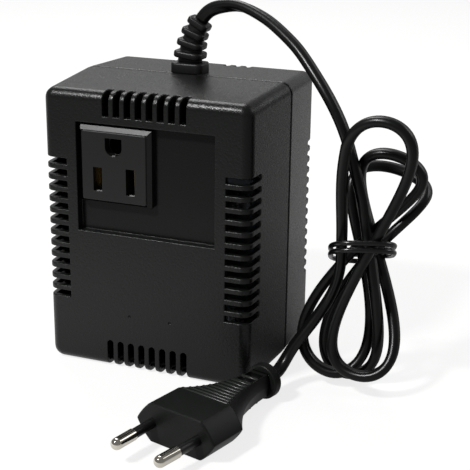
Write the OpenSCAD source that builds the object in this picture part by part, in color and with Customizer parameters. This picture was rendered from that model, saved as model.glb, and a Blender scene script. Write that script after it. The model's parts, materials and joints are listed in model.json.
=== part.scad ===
// Travel voltage converter: a two-shell transformer case with a three-pin socket in front,
// a ribbed strain relief on top, and a flat two-core cord, tied in a hank, that ends in a two-pin plug.
// Millimetres. The origin is the middle of the case's underside, +Z is up and the socket faces -Y.

/* [Case] */
// Width of the front face
face_w = 78.5; // [77:0.5:82]
// Height of the front face
face_h = 102.2; // [101:0.2:106]
// Depth of the front shell, from the front face to the parting line
front_d = 35; // [34:0.5:37]
// Depth of the rear shell, from the parting line to the back
rear_d = 29.4; // [28.6:0.2:31]
// Growth of each side from the front face to the parting line
side_draft = 1.8; // [1:0.1:2.4]
// Rise of the top from the front face to the parting line
top_draft = 1.6; // [1:0.1:2.2]
// Loss of each side from the parting line to the back
rear_side_draft = 1.2; // [0.6:0.1:1.6]
// Fall of the top from the parting line to the back
rear_top_draft = 0.5; // [0.2:0.1:1]
// Radius of the long corners
corner_r = 4.2; // [3.8:0.1:5.5]
// Radius of the front and rear edges
edge_r = 3.6; // [2.6:0.1:3.8]
// Wall thickness of both shells
wall = 2.2; // [2:0.1:2.5]
// Width of the groove along the parting line
groove_w = 0.8; // [0.5:0.1:1.2]
// Depth of the groove along the parting line
groove_d = 0.5; // [0.3:0.1:0.6]
// Reach of the rear shell's tongue into the front shell
tongue_d = 1.5; // [1:0.1:2]

/* [Vents] */
// Slots in the top and in the bottom edge
top_vents = 8; // [6:1:8]
// Slots in each side edge
side_vents = 13; // [9:1:14]
// Slots at each end of the rear top edge
rear_top_vents = 3; // [2:1:3]
// Distance from slot to slot
vent_pitch = 4.16; // [3.8:0.02:4.4]
// Height of a slot
vent_w = 2.3; // [1.8:0.1:2.6]
// Run of a side slot across the front face
vent_face_run = 9; // [6:0.5:10]
// Run of a side slot along the side
vent_side_run = 9.6; // [7:0.2:11]
// Run of a top slot down the front face
vent_top_drop = 8.5; // [6:0.5:8.5]
// Run of a top slot back along the top
vent_top_run = 5.8; // [4.5:0.2:7]
// Rise of a bottom slot up the front face
vent_foot_rise = 10.4; // [8:0.2:12]
// Run of the slots on the rear edges
vent_rear_run = 6; // [4:0.5:8]

/* [Socket panel] */
// Width of the recess
recess_w = 52.4; // [50:0.2:54]
// Height of the recess
recess_h = 39.6; // [38:0.2:41]
// Distance from the top of the front face to the recess
recess_drop = 11.2; // [11:0.2:12]
// Depth of the recess
recess_d = 3.2; // [2.4:0.1:3.6]

/* [Socket] */
// Width and height of the socket's face
socket_w = 25.4; // [25:0.1:26.4]
// Gap from the recess's left wall to the socket
socket_side_gap = 1.8; // [1.4:0.1:3]
// Gap from the recess's top wall to the socket
socket_top_gap = 2.5; // [1.5:0.1:3]
// Flare of the socket's face towards its root
socket_flare = 0.4; // [0.2:0.1:0.6]
// Depth of the socket from its face to its cover
socket_d = 18.5; // [18:0.1:18.8]
// Distance between the two blade slots
blade_pitch = 12.7; // [12.5:0.1:12.9]
// Distance from the blade slots up to the earth hole
earth_rise = 11.9; // [11.5:0.1:12.1]
// Distance from the socket's middle down to the blade slots
slot_drop = 4.7; // [4.4:0.1:5]
// Width of a blade slot
slot_w = 3.3; // [2.4:0.1:3.4]
// Height of the live slot
live_slot_h = 8.6; // [7.5:0.1:9]
// Height of the neutral slot
neutral_slot_h = 9.5; // [8.6:0.1:9.8]
// Width of the earth hole
earth_hole_d = 6.4; // [6.2:0.1:6.6]
// Thickness of a blade that the contacts grip
blade_t = 1.5; // [1.4:0.1:1.6]
// Thickness of the contact strip
strip_t = 0.8; // [0.6:0.1:0.9]
// Thickness of the sprung leaf
leaf_t = 0.5; // [0.4:0.05:0.6]

/* [Transformer] */
// Unit of the laminations: their width is six of it and their height five
lam = 11; // [10.4:0.1:11]
// Thickness of the lamination stack
stack = 30; // [28:0.5:30]
// Length of the rear bosses that carry the transformer
core_boss = 11; // [10.8:0.1:11.6]
// Wall of the bobbin
bobbin_t = 1.1; // [0.9:0.1:1.3]
// Thickness of the insulation between the windings
paper_t = 0.3; // [0.2:0.05:0.4]
// Thickness of the outer tape
tape_t = 0.4; // [0.2:0.1:0.6]

/* [Screws] */
// Thread diameter of the case screws
case_screw_d = 3; // [2.6:0.1:3.4]
// Thread diameter of the core screws
core_screw_d = 3.5; // [3:0.1:4]
// Thread diameter of the small screws
small_screw_d = 2.2; // [2:0.1:2.4]
// Distance of the case screws from the sides of the front face
post_in = 6.6; // [6.2:0.1:7]
// Distance of the case screws from the top and the bottom
post_up = 7.6; // [7:0.1:8]

/* [Cord] */
// Width of the flat cord
cord_w = 5; // [4.6:0.1:5.2]
// Thickness of the flat cord
cord_t = 3.6; // [3.2:0.1:3.8]
// Place of the strain relief, from the middle to the right
relief_x = -0.2; // [-1:0.1:1]
// Width of the strain relief's collar
collar_w = 12.6; // [12:0.1:14]
// Depth of the strain relief's collar
collar_d = 9.4; // [9:0.1:10.4]
// Height of the strain relief's collar
collar_h = 3.5; // [3:0.1:4]
// Width of the lowest rib
rib_w = 10.8; // [10.4:0.1:11.6]
// Step in width from rib to rib
rib_step = 0.85; // [0.7:0.05:0.95]
// Distance from rib to rib
rib_pitch = 4; // [3.8:0.1:4.4]
// Height of a rib
rib_h = 2.4; // [2:0.1:2.6]
// Turn of the strain relief from its collar to its end, in degrees
relief_lean = 32; // [28:1:34]
// Thickness of the wire tie
tie_d = 1.8; // [1.4:0.1:2]

/* [Plug] */
// Width of the plug at half height
plug_w = 32; // [30:0.5:35]
// Width of the plug's flat top
plug_top_w = 20.6; // [18:0.2:23]
// Thickness of the plug
plug_t = 13.7; // [13:0.1:13.7]
// Length of the plug's block
plug_block_l = 14.7; // [12:0.1:16]
// Length of the plug's neck behind the block
plug_neck_l = 31.5; // [28:0.5:34]
// Diameter of the disc at the end of the neck
plug_disc_d = 12.6; // [12:0.1:13.6]
// Thickness of the disc at the end of the neck
plug_disc_t = 3.8; // [3:0.1:4.5]
// Diameter of a pin's bare end
pin_d = 4; // [3.9:0.05:4.1]
// Length of a pin outside the plug
pin_l = 19; // [18.5:0.1:19.5]
// Length of a pin's bare end
pin_bare_l = 9.5; // [9:0.1:10]
// Distance between the pins at the plug's face
pin_pitch = 18.6; // [18.2:0.1:19]
// Distance between the pins at their ends
pin_end_pitch = 17.5; // [17:0.1:18]

/* [Hidden] */
$fn = 48;

// Clearances: a drop-in fit, a screw in its hole, and a hair between faces that touch
fit = 0.15;
screw_fit = 0.05;
hair = 0.02;
// Overshoot of a cut past the face that it opens, and depth by which joined shapes sink into each other
over = 1;
sink = 0.5;

// Case planes
y_front = -(front_d + rear_d) / 2;
y_split = y_front + front_d;
y_rear = y_split + rear_d;
half_front = face_w / 2;
half_split = half_front + side_draft;
half_rear = half_split - rear_side_draft;
top_split = face_h + top_draft;
top_rear = top_split - rear_top_draft;
in_rear = y_rear - wall;

// Vent rows
side_rows = [for (i = [0 : side_vents - 1]) face_h / 2 + (i - (side_vents - 1) / 2) * vent_pitch];
top_rows = [for (i = [0 : top_vents - 1]) (i - (top_vents - 1) / 2) * vent_pitch];
rear_top_rows = [
    for (i = [0 : top_vents - 1])
        if (min(i, top_vents - 1 - i) < rear_top_vents) top_rows[i]
];

// Case screws: posts in front, counterbored tubes behind
post_r = 3.6;
tube_r = 4.2;
tube_seat = 5;
case_head_d = 5.8;
case_head_h = 2;
case_grip = 14;
posts = [for (sx = [-1, 1], z = [post_up, face_h - post_up]) [sx * (half_front - post_in), z]];

// Recess and socket planes
recess_top = face_h - recess_drop;
recess_low = recess_top - recess_h;
floor_front = y_front + recess_d;
floor_back = floor_front + wall;
block_x = -recess_w / 2 + socket_side_gap + socket_w / 2;
block_z = recess_top - socket_top_gap - socket_w / 2;
block_back = y_front + socket_d;
block_bevel = 0.5;
block_corner_r = 0.8;
root_w = socket_w + 2 * socket_flare;
slot_z = block_z - slot_drop;
earth_z = slot_z + earth_rise;
face_t = 3;
flange_w = root_w + 2.4;
flange_t = 1.8;

// Ears that screw the socket to bosses behind the recess: one on its right, one below it
small_r = small_screw_d / 2;
small_head_d = 4.2;
small_head_h = 1.3;
ear_r = 2.8;
ear_t = 1.8;
ear_boss_r = 2.4;
ear_boss_h = 2.2;
ear_y = floor_back + ear_boss_h;
ear_gap = 0.4;
ear_out = flange_w / 2 + ear_boss_r + ear_gap;
ear_side = 8;
ear_skin = 0.8;
ears = [[block_x + ear_out, block_z + ear_side], [block_x - ear_side, block_z - ear_out]];

// Contacts, drawn beside a slot's middle: x points away from the socket's middle, y back from its face
strip_in = blade_t / 2 + fit;
strip_out = strip_in + strip_t;
pocket_in = 3;
pocket_h = 10.4;
contact_h = 9.2;
contact_front = face_t + 1;
bead_r = 0.8;
bead_gap = 0.3;
bead = [-(pocket_in - bead_gap - bead_r), socket_d - strip_t - bead_gap - bead_r];
leaf_h = 7;
nose = [-blade_t / 5 - leaf_t / 2, 9];
flare_end = [-blade_t / 5 - leaf_t / 2 - 0.8, 6.2];
cross_end = -2.4;
tail_l = 7;
tail_h = 4;
slot_side = blade_pitch / 2;
earth_r = 3.05;
earth_bore_r = 2.5;
earth_front = 5.2;
earth_l = 9.8;
earth_split = 1;
cover_t = 1.6;
cover_in = 0.3;
cover_w = socket_w - 2 * cover_in;
cover_grip = 6;
cover_side = 8.2;
cover_rise = 2;
cover_holes = [
    [block_x - cover_side, earth_z], [block_x + cover_side, earth_z], [block_x, slot_z + cover_rise]
];

// Transformer planes: the core stands clear of the lower screw tubes
core_gap = 0.4;
core_lift = post_up + tube_r + core_gap;
core_y = in_rear - core_boss - stack;
core_mid = core_y + stack / 2;
core_w = 6 * lam;
window_low = core_lift + lam;
window_top = core_lift + 4 * lam;
core_holes = [for (sx = [-1, 1], z = [core_lift + lam / 2, core_lift + 4.5 * lam]) [sx * 2.5 * lam, z]];
core_head_d = 6;
core_head_h = 2.2;
core_grip = 8;
core_boss_r = 4;
washer_d = 8;
washer_t = 0.8;
limb_fit = 0.2;
coil_flange_gap = 0.4;
coil_flange_x = 2 * lam - coil_flange_gap;
coil_flange_y = stack / 2 + lam - coil_flange_gap;
coil_flange_t = 1.2;
spool_x = lam + limb_fit + bobbin_t;
spool_y = stack / 2 + limb_fit + bobbin_t;
spool_corner_r = 0.5;
layer_gap = 0.05;
coil_room = coil_flange_x - spool_x - coil_flange_gap;
copper_t = (coil_room - paper_t - tape_t) / 2;
paper_in = layer_gap + copper_t + layer_gap;
series_in = paper_in + paper_t + layer_gap;
tape_in = series_in + copper_t + layer_gap;
coil_low = window_low + limb_fit + coil_flange_t + layer_gap;
coil_top = window_top - limb_fit - coil_flange_t - layer_gap;
flange_top = window_top - limb_fit;
terminal_d = 1.4;
terminal_h = 5;
terminal_in = 2.4;
terminal_y = core_mid + coil_flange_y - terminal_in;
terminal_xs = [-15, -5, 5, 15];
terminal_top = flange_top + terminal_h;
fuse_r = 2;
fuse_l = 12;
fuse_lead_r = 0.5;
fuse_lead_x = 9.5;
sleeve_t = 0.5;
sleeve_r = fuse_r + sleeve_t;
sleeve_l = fuse_l + 2;
fuse_gap = 0.5;
fuse_y = core_y + stack + sleeve_r + fuse_gap;
fuse_z = flange_top + sleeve_r + hair;

// Strain relief: it stands close behind the parting line, leaves its collar upright and leans over as an arc
collar_back = 0.3;
relief_y = y_split + collar_back + collar_d / 2;
ribs = 4;
relief_l = ribs * rib_pitch;
relief_arc_r = relief_l * 180 / (PI * relief_lean);
relief_waist = 1.7;
waist_deep = 2;
relief_wall = 0.6;
bore_gap = 0.1;
rib_flat = 1.4;
relief_corner_r = 2.4;
collar_top = top_split + collar_h;
neck_w = 9;
neck_d = 7;
inner_flange_h = 2;
inner_flange_top = top_split - wall - rear_top_draft * (collar_back + collar_d) / rear_d - fit;
function relief_turn(s) = relief_lean * s / relief_l;
function relief_aim(s) = [sin(relief_turn(s)), 0, cos(relief_turn(s))];
function relief_point(s) = [
    relief_x + relief_arc_r * (1 - cos(relief_turn(s))), relief_y,
    collar_top + relief_arc_r * sin(relief_turn(s))
];
function rib_width(i) = rib_w - i * rib_step;

// Cord clamp: a bar that presses the cord on a rib of the rear shell
clamp_w = 20;
clamp_h = 7;
clamp_t = 2;
clamp_drop = 11.8;
clamp_z = top_split - clamp_drop;
clamp_side = 6.5;
clamp_grip = 4.5;
clamp_rib_t = 6;
clamp_rib_low = clamp_z - clamp_h / 2 - 1.5;
clamp_rib_top = inner_flange_top - inner_flange_h - 0.6;
clamp_rib_y = relief_y + cord_t / 2 + hair;
clamp_link_y = relief_y + collar_d / 2 + 0.3;
clamp_bar_y = relief_y - cord_t / 2 - hair;
inlet_tail = 8;
inlet_low = clamp_z - inlet_tail;

// A ring of points: a rounded rectangle in XZ, counterclockwise as seen from the front
corner_steps = 6;
function case_ring(half_w, low, top, r, y) = [
    for (c = [0 : 3], i = [0 : corner_steps])
        let (a = 90 * (c + i / corner_steps))
            [(c == 0 || c == 3 ? 1 : -1) * (half_w - r) + r * cos(a), y,
             (c < 2 ? top - r : low + r) + r * sin(a)]
];
edge_angles = [for (i = [0 : 4]) 22.5 * i];
edge_corner_r = 0.5;
function edge_ring(half_w, top, y, dir, a) =
    let (inset = edge_r * (1 - sin(a)))
        case_ring(half_w - inset, inset, top - inset, max(corner_r - inset, edge_corner_r),
                  y + dir * edge_r * (1 - cos(a)));
function split_ring(inset, y) =
    case_ring(half_split - inset, inset, top_split - inset, corner_r - inset / 2, y);
front_rings = concat(
    [for (a = edge_angles) edge_ring(half_front, face_h, y_front, 1, a)],
    [split_ring(0, y_split - groove_w), split_ring(groove_d, y_split - groove_w + sink / 5),
     split_ring(groove_d, y_split)]);
rear_rings = concat(
    [split_ring(0, y_split)],
    [for (i = [4 : -1 : 0]) edge_ring(half_rear, top_rear, y_rear, -1, edge_angles[i])]);
inner_r = corner_r - wall / 2;
front_cavity = [
    case_ring(half_front - wall, wall, face_h - wall, inner_r, y_front + wall),
    split_ring(wall, y_split), split_ring(wall, y_split + over)
];
rear_cavity = [
    split_ring(wall, y_split - tongue_d - over), split_ring(wall, y_split),
    case_ring(half_rear - wall, wall, top_rear - wall, inner_r, in_rear)
];

// Rings of equal length joined into one solid
module loft(rings) {
    n = len(rings[0]);
    last = (len(rings) - 1) * n;
    sides = [
        for (i = [0 : len(rings) - 2], j = [0 : n - 1])
            let (a = i * n + j, b = i * n + (j + 1) % n)
                each [[a, b, b + n], [a, b + n, a + n]]
    ];
    caps = [[for (j = [n - 1 : -1 : 0]) j], [for (j = [0 : n - 1]) last + j]];
    polyhedron([for (r = rings) each r], concat(caps, sides), convexity = 8);
}

// Directions along a route, and a section there whose width keeps as near as it can to a given axis
function unit(v) = v / norm(v);
function aim(route, i) = unit(route[min(i + 1, len(route) - 1)] - route[max(i - 1, 0)]);
function section(p, t, wide, half_t, half_w, sides) =
    let (v = unit(wide - (wide * t) * t), u = cross(t, v))
        [for (k = [0 : sides - 1])
            let (a = 360 * (k + 0.5) / sides) p + half_t * cos(a) * u + half_w * sin(a) * v];
function tube_rings(route, wides, half_t, half_w, sides) =
    [for (i = [0 : len(route) - 1]) section(route[i], aim(route, i), wides[i], half_t, half_w, sides)];
// The corners of a polygon stand out so that its flats keep the size
function flat_out(sides) = 1 / cos(180 / sides);
function same(v, route) = [for (p = route) v];
cord_sides = 8;
function cord_half(size, grow) = (size / 2 + grow) * flat_out(cord_sides);
function cord_rings(route, wides) =
    tube_rings(route, wides, cord_half(cord_t, 0), cord_half(cord_w, 0), cord_sides);
across = [0, 1, 0];
sideways = [1, 0, 0];
// The cord's inner end, from the clamp through the strain relief, and its bore when it grows
function inlet_rings(grow, past) = concat(
    [section([relief_x, relief_y, inlet_low], [0, 0, 1], sideways,
             cord_half(cord_t, grow), cord_half(cord_w, grow), cord_sides)],
    [for (i = [0 : ribs])
        let (s = i * rib_pitch)
            section(relief_point(s) + (i == ribs ? past : 0) * relief_aim(s), relief_aim(s), sideways,
                    cord_half(cord_t, grow), cord_half(cord_w, grow), cord_sides)]);

// Leads inside the case
lead_r = 1;
core_side = cord_w / 4;
tail_end = [0, block_back + tail_l, slot_z];
live_tail = [block_x - slot_side, 0, 0] + tail_end;
neutral_tail = [block_x + slot_side, 0, 0] + tail_end;
function on_terminal(i, rise) = [terminal_xs[i], terminal_y, terminal_top + rise];
live_in_route = [
    [relief_x - core_side, relief_y, inlet_low], [relief_x - core_side, relief_y, inlet_low - 4], [-4, 9, 75],
    [-12, 19.5, 71], [-15, 22.5, 66], [-16, 22.5, 61.5], [-15, fuse_y, fuse_z + 0.7], [-13, fuse_y, fuse_z],
    [-fuse_lead_x, fuse_y, fuse_z]
];
fuse_link_route = [
    [fuse_lead_x, fuse_y, fuse_z], [13, fuse_y, fuse_z], [17, 23, 59.5], [20, 25, 62.5], [19.5, 26.8, 66],
    [16.5, terminal_y, 67.2], on_terminal(3, 3.8), on_terminal(3, 0)
];
neutral_in_route = [
    [relief_x + core_side, relief_y, inlet_low], [relief_x + core_side, relief_y, inlet_low - 4],
    [3.5, 8, 76], [6.5, 12, 73.5], [6.5, 20, 72.5], [5.5, 26, 70.5], on_terminal(2, 5.5), on_terminal(2, 0)
];
live_out_route = [
    on_terminal(0, 0), on_terminal(0, 4), [-16, 25, 71], [-17.5, 18, 75.5], [-18, 8, 76], [-18, 0, 73.5],
    live_tail + [0, 3, 0], live_tail
];
neutral_out_route = [
    on_terminal(1, 0), on_terminal(1, 5), [-5.5, 25, 72], [-6.5, 18, 76.5], [-7, 9, 77.5], [-6.5, 1, 74.5],
    neutral_tail + [0, 3, 0], neutral_tail
];

// Hank: three turns of a figure of eight, pinched by the tie. Each turn has a lower and an upper lobe:
// how far it reaches from the tie, how wide it is, how far it leans and how far back it lies
waist = [74, -11, 51];
lobe_reach = [49, 24.5, 46.5, 35.5, 42.5, 49.5];
lobe_width = [19, 24, 23.5, 20.5, 21.5, 21.5];
lobe_lean = [8, 15, 13.5, 17.5, -5.5, 11];
lobe_back = [2.5, 20.5, -5.5, 0, -11, -14.5];
// A lobe is a little fuller at its far end than a plain figure of eight
lobe_drop = 0.07;
// Passes through the tie, before, between and after the lobes: place across it and place in depth
pass_across = [3, 2.5, -4.5, -3, 1, 2.5, -4.5];
pass_back = [-5, 0.5, 7, 1, 8, -10.5, -9];
hank_start = -0.1;
hank_end = 5.9;
lobe_steps = 24;
hank_sides = 6;
function blend(list, h) =
    let (n = len(list) - 1, g = min(max(h, 0), n), i = min(floor(g), n - 1), f = g - i)
        list[i] + (list[i + 1] - list[i]) * f * f * (3 - 2 * f);
function hank_point(h) =
    let (th = 180 * h, pinch = pow(cos(th), 2), lean = blend(lobe_lean, h - 0.5),
         eight = sin(2 * th) - lobe_drop * sin(4 * th),
         x = blend(lobe_width, h - 0.5) / 2 * eight + blend(pass_across, h) * pinch,
         z = -blend(lobe_reach, h - 0.5) * sin(th),
         y = blend(pass_back, h) * pinch + blend(lobe_back, h - 0.5) * (1 - pinch))
        waist + [x * cos(lean) + z * sin(lean), y, z * cos(lean) - x * sin(lean)];
hank_steps = round((hank_end - hank_start) * lobe_steps);
hank_route = [for (i = [0 : hank_steps]) hank_point(hank_start + (hank_end - hank_start) * i / hank_steps)];
// Least gap of the hank to itself: flat sections clear each other across their thickness or their width
hank_fine = [
    for (i = [0 : hank_steps - 1], f = [0, 0.5]) hank_route[i] + (hank_route[i + 1] - hank_route[i]) * f
];
function pair_gap(p, q) = max(norm([p.x - q.x, p.z - q.z]) - cord_t, abs(p.y - q.y) - cord_w);
hank_gap = min([
    for (i = [0 : len(hank_fine) - 1], j = [i + lobe_steps : 1 : len(hank_fine) - 1])
        pair_gap(hank_fine[i], hank_fine[j])
]);
echo(hank_least_gap = hank_gap);

// Plug: it lies with its pins forwards, and stations along it count from the ends of the pins
plug_tip = [28.2, -99.85];
plug_turn = -15.8;
plug_z = plug_t / 2 + fit;
plug_face = pin_l;
neck_from = plug_face + plug_block_l;
disc_from = neck_from + plug_neck_l;
plug_end = disc_from + plug_disc_t;
function plug_at(s) = [plug_tip.x - s * sin(plug_turn), plug_tip.y + s * cos(plug_turn), plug_z];
pin_root_l = 8;
pin_core_d = 2.4;
pin_sleeve_d = 3.4;
sleeve_root_l = 3;
pin_splay = atan((pin_pitch - pin_end_pitch) / 2 / pin_l);
neck_half_w = 3.9;
neck_half_top = 3.2;
neck_half_t = 4.1;
neck_power = 2.2;
neck_rings = 8;
plug_edge = 0.8;
// Two windows through the top and the underside of the neck, near the disc
neck_window_l = 3;
neck_window_w = 4.4;
neck_window_d = 2;
neck_window_back = 10.5;
neck_window_from = disc_from - neck_window_back;
neck_window_pitch = 5;
// A section of the plug: flat above and below, with soft noses at its sides
nose_steps = 6;
nose_power = 1.7;
function plug_ring(s, half_top, half_w, half_t) = [
    for (side = [1, -1], i = [-nose_steps : nose_steps])
        let (a = 90 * i / nose_steps, up = pow(abs(sin(a)), nose_power) * sign(a))
            [side * (half_top + (half_w - half_top) * pow(cos(a), nose_power)), s, side * half_t * up]
];
function neck_ring(u) =
    let (k = pow(1 - u, neck_power))
        plug_ring(neck_from + u * plug_neck_l, neck_half_top + (plug_top_w / 2 - neck_half_top) * k,
                  neck_half_w + (plug_w / 2 - neck_half_w) * k,
                  neck_half_t + (plug_t / 2 - neck_half_t) * k);
plug_rings = concat(
    [for (a = [0, 45, 90])
        let (inset = plug_edge * (1 - sin(a)))
            plug_ring(plug_face + plug_edge * (1 - cos(a)), plug_top_w / 2 - inset, plug_w / 2 - inset,
                      plug_t / 2 - inset / 2)],
    [for (i = [0 : neck_rings]) neck_ring(i / neck_rings)]);

// Free stretches of the cord: from the strain relief to the hank, and from the hank to the plug
straight = cord_w;
relief_end = relief_point(relief_l);
hank_first = hank_route[0];
hank_last = hank_route[hank_steps];
arc_route = concat(
    [relief_end, relief_end + straight * relief_aim(relief_l)],
    [[12, 7, 128], [16, 6.5, 129], [21, 5.5, 129], [26, 3.5, 127.5], [32, 1.5, 125.5], [37.5, -1.5, 122.5],
     [42.5, -4, 119.5], [47, -6.5, 116.5], [52.5, -10, 111], [58, -13, 105.5], [62.5, -15, 99.5],
     [65.5, -15.5, 94], [68, -15.5, 87.5], [70, -15.5, 80]],
    [hank_first - straight * unit(hank_route[1] - hank_first), hank_first]);
// The flat cord leaves the strain relief with a wide side to the front, and soon turns edge-on
arc_turned = 0.4;
relief_side = [cos(relief_lean), 0, -sin(relief_lean)];
arc_wides = [
    for (i = [0 : len(arc_route) - 1])
        let (g = min(i / (len(arc_route) - 1) / arc_turned, 1), f = g * g * (3 - 2 * g))
            relief_side * (1 - f) + across * f
];
tail_route = concat(
    [hank_last, hank_last + straight * unit(hank_last - hank_route[hank_steps - 1])],
    [[68, -19, 46.5], [66, -17, 40.5], [64, -16, 35], [61.5, -16.5, 30], [58, -18.5, 24], [54.5, -20.5, 19],
     [51.5, -21.5, 14], [50, -23, 10.5], [49, -25.5, 8]],
    [plug_at(plug_end + straight), plug_at(plug_end)]);
tail_flat = [-cos(plug_turn), -sin(plug_turn), 0];
tail_wides = [
    for (i = [0 : len(tail_route) - 1])
        let (f = i / (len(tail_route) - 1)) across * (1 - f) + tail_flat * f
];

// Tie: two turns of wire round the bundle, full at their corners, with their front higher than their back
tie_turns = 2;
tie_steps = 24;
tie_sides = 6;
tie_half = [10.8, 14.3];
tie_power = 0.6;
tie_skew = 16;
tie_tilt = 24;
tie_rise = 2.5;
tie_mid = waist + [-0.8, -1.8, 0];
function fuller(v) = sign(v) * pow(abs(v), tie_power);
tie_route = [
    for (i = [0 : tie_turns * tie_steps])
        let (a = 360 * i / tie_steps + 90, x = tie_half.x * fuller(cos(a)), y = tie_half.y * fuller(sin(a)))
            tie_mid + [x * cos(tie_skew) - y * sin(tie_skew), x * sin(tie_skew) + y * cos(tie_skew),
                       tie_rise * (i / tie_steps - tie_turns / 2) - y * tan(tie_tilt)]
];
echo(tie_least_gap = tie_rise * cos(tie_tilt) - tie_d);

// A rounded rectangle, centred
module round_rect(w, h, r) {
    square([w - 2 * r, h], center = true);
    square([w, h - 2 * r], center = true);
    for (sx = [-1, 1], sy = [-1, 1])
        translate([sx * (w / 2 - r), sy * (h / 2 - r)]) circle(r);
}

// A slot that runs along x from behind 0 to l, with a round end
module slot_2d(l, w) {
    translate([-over, -w / 2]) square([l - w / 2 + over, w]);
    translate([l - w / 2, 0]) circle(d = w);
}

// A straight strip between two points
module strip_2d(p, q, t) {
    side = unit([p.y - q.y, q.x - p.x]) * t / 2;
    polygon([p + side, p - side, q - side, q + side]);
    for (c = [p, q])
        translate(c) circle(d = t);
}

// A box between two corners
module block(low, high) {
    translate(low) cube(high - low);
}

// A rod along +Y from a point of the XZ plane
module rod(at, y, l, r) {
    translate([at.x, y, at.y]) rotate([-90, 0, 0]) cylinder(r = r, h = l);
}

// A cross-recessed screw: the seat of its head is at 0, its thread runs down
module screw(d, l, head_d, head_h) {
    difference() {
        union() {
            translate([0, 0, -l]) cylinder(d = d, h = l + head_h / 2);
            cylinder(d = head_d, h = head_h);
        }
        for (turn = [0, 90])
            rotate([0, 0, turn]) translate([-head_d / 3, -head_d / 16, head_h / 2])
                cube([head_d * 2 / 3, head_d / 8, head_h]);
    }
}
module screw_from_back(at, y, d, l, head_d, head_h) {
    translate([at.x, y, at.y]) rotate([-90, 0, 0]) screw(d, l, head_d, head_h);
}
module screw_from_front(at, y, d, l, head_d, head_h) {
    translate([at.x, y, at.y]) rotate([90, 0, 0]) screw(d, l, head_d, head_h);
}

// Slots along a side edge, front or rear, on both sides
module side_slots(y, dir, run, from_x) {
    for (z = side_rows, sx = [0, 1])
        mirror([sx, 0, 0]) translate([from_x, y, z]) rotate([90, 0, 90])
            linear_extrude(half_split) scale([dir, 1]) slot_2d(run, vent_w);
}

// Slots along the top edge, front or rear
module top_slots(rows, y, dir, run, low) {
    for (x = rows)
        translate([x, y, low]) rotate([0, 0, 90 * dir]) linear_extrude(face_h) slot_2d(run, vent_w);
}

// The slot in the rear shell that holds the strain relief; the front shell closes it
module relief_slot() {
    block([relief_x - neck_w / 2 - fit, y_split - tongue_d - over, top_split - wall - over],
          [relief_x + neck_w / 2 + fit, relief_y + neck_d / 2 + fit, top_split + over]);
}

module front_shell() {
    color("#1c1c1e") difference() {
        union() {
            difference() {
                loft(front_rings);
                loft(front_cavity);
                loft([split_ring(wall / 2, y_split - tongue_d - fit), split_ring(wall / 2, y_split + over)]);
            }
            block([-recess_w / 2 - wall, y_front + sink, recess_low - wall],
                  [recess_w / 2 + wall, floor_back, recess_top + wall]);
            for (p = posts)
                rod(p, y_front + wall - sink, front_d - wall + sink, post_r);
            for (p = ears)
                rod(p, floor_back - sink, ear_boss_h + sink, ear_boss_r);
        }
        block([-recess_w / 2, y_front - over, recess_low], [recess_w / 2, floor_front, recess_top]);
        block([block_x - root_w / 2 - fit, floor_front - over, block_z - root_w / 2 - fit],
              [block_x + root_w / 2 + fit, floor_back + over, block_z + root_w / 2 + fit]);
        for (p = ears)
            rod(p, floor_front + ear_skin, floor_back + ear_boss_h - floor_front, small_r + screw_fit);
        for (p = posts)
            rod(p, y_split - case_grip - over, case_grip + 2 * over, case_screw_d / 2 + screw_fit);
        side_slots(y_front, 1, vent_side_run, half_front - vent_face_run);
        top_slots(top_rows, y_front, 1, vent_top_run, face_h - vent_top_drop);
        for (x = top_rows)
            translate([x, y_front + vent_top_run, 0]) rotate([90, -90, 0])
                linear_extrude(vent_top_run + over) slot_2d(vent_foot_rise, vent_w);
    }
}

module rear_shell() {
    color("#1c1c1e") difference() {
        union() {
            difference() {
                union() {
                    loft(rear_rings);
                    loft([split_ring(wall / 2 + fit, y_split - tongue_d),
                          split_ring(wall / 2 + fit, y_split + sink)]);
                }
                loft(rear_cavity);
            }
            for (p = posts)
                rod(p, y_split, rear_d - wall + sink, tube_r);
            for (p = core_holes)
                rod(p, in_rear - core_boss, core_boss + sink, core_boss_r);
            block([relief_x - clamp_w / 2, clamp_rib_y, clamp_rib_low],
                  [relief_x + clamp_w / 2, clamp_rib_y + clamp_rib_t, clamp_rib_top]);
            block([relief_x - clamp_w / 2, clamp_link_y, clamp_rib_top - sink],
                  [relief_x + clamp_w / 2, clamp_rib_y + clamp_rib_t, top_split - wall + sink]);
        }
        for (p = posts) {
            rod(p, y_split - over, tube_seat + 2 * over, case_screw_d / 2 + screw_fit);
            rod(p, y_split + tube_seat, rear_d, case_head_d / 2 + fit);
        }
        for (p = core_holes)
            rod(p, in_rear - core_boss - over, core_grip + 2 * over, core_screw_d / 2 + screw_fit);
        for (sx = [-1, 1])
            rod([relief_x + sx * clamp_side, clamp_z], clamp_rib_y - over, clamp_grip + 1.5 * over,
                small_r + screw_fit);
        side_slots(y_rear, -1, vent_rear_run, half_rear - vent_rear_run);
        top_slots(rear_top_rows, y_rear, -1, vent_rear_run, top_rear - vent_rear_run);
        for (x = top_rows)
            translate([x, y_rear + over, 0]) rotate([90, -90, 0])
                linear_extrude(vent_rear_run + over) slot_2d(vent_rear_run, vent_w);
        relief_slot();
    }
}

module case_screws() {
    color("#8f9094") for (p = posts)
        screw_from_back(p, y_split + tube_seat, case_screw_d, tube_seat + case_grip,
                        case_head_d, case_head_h);
}

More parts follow.
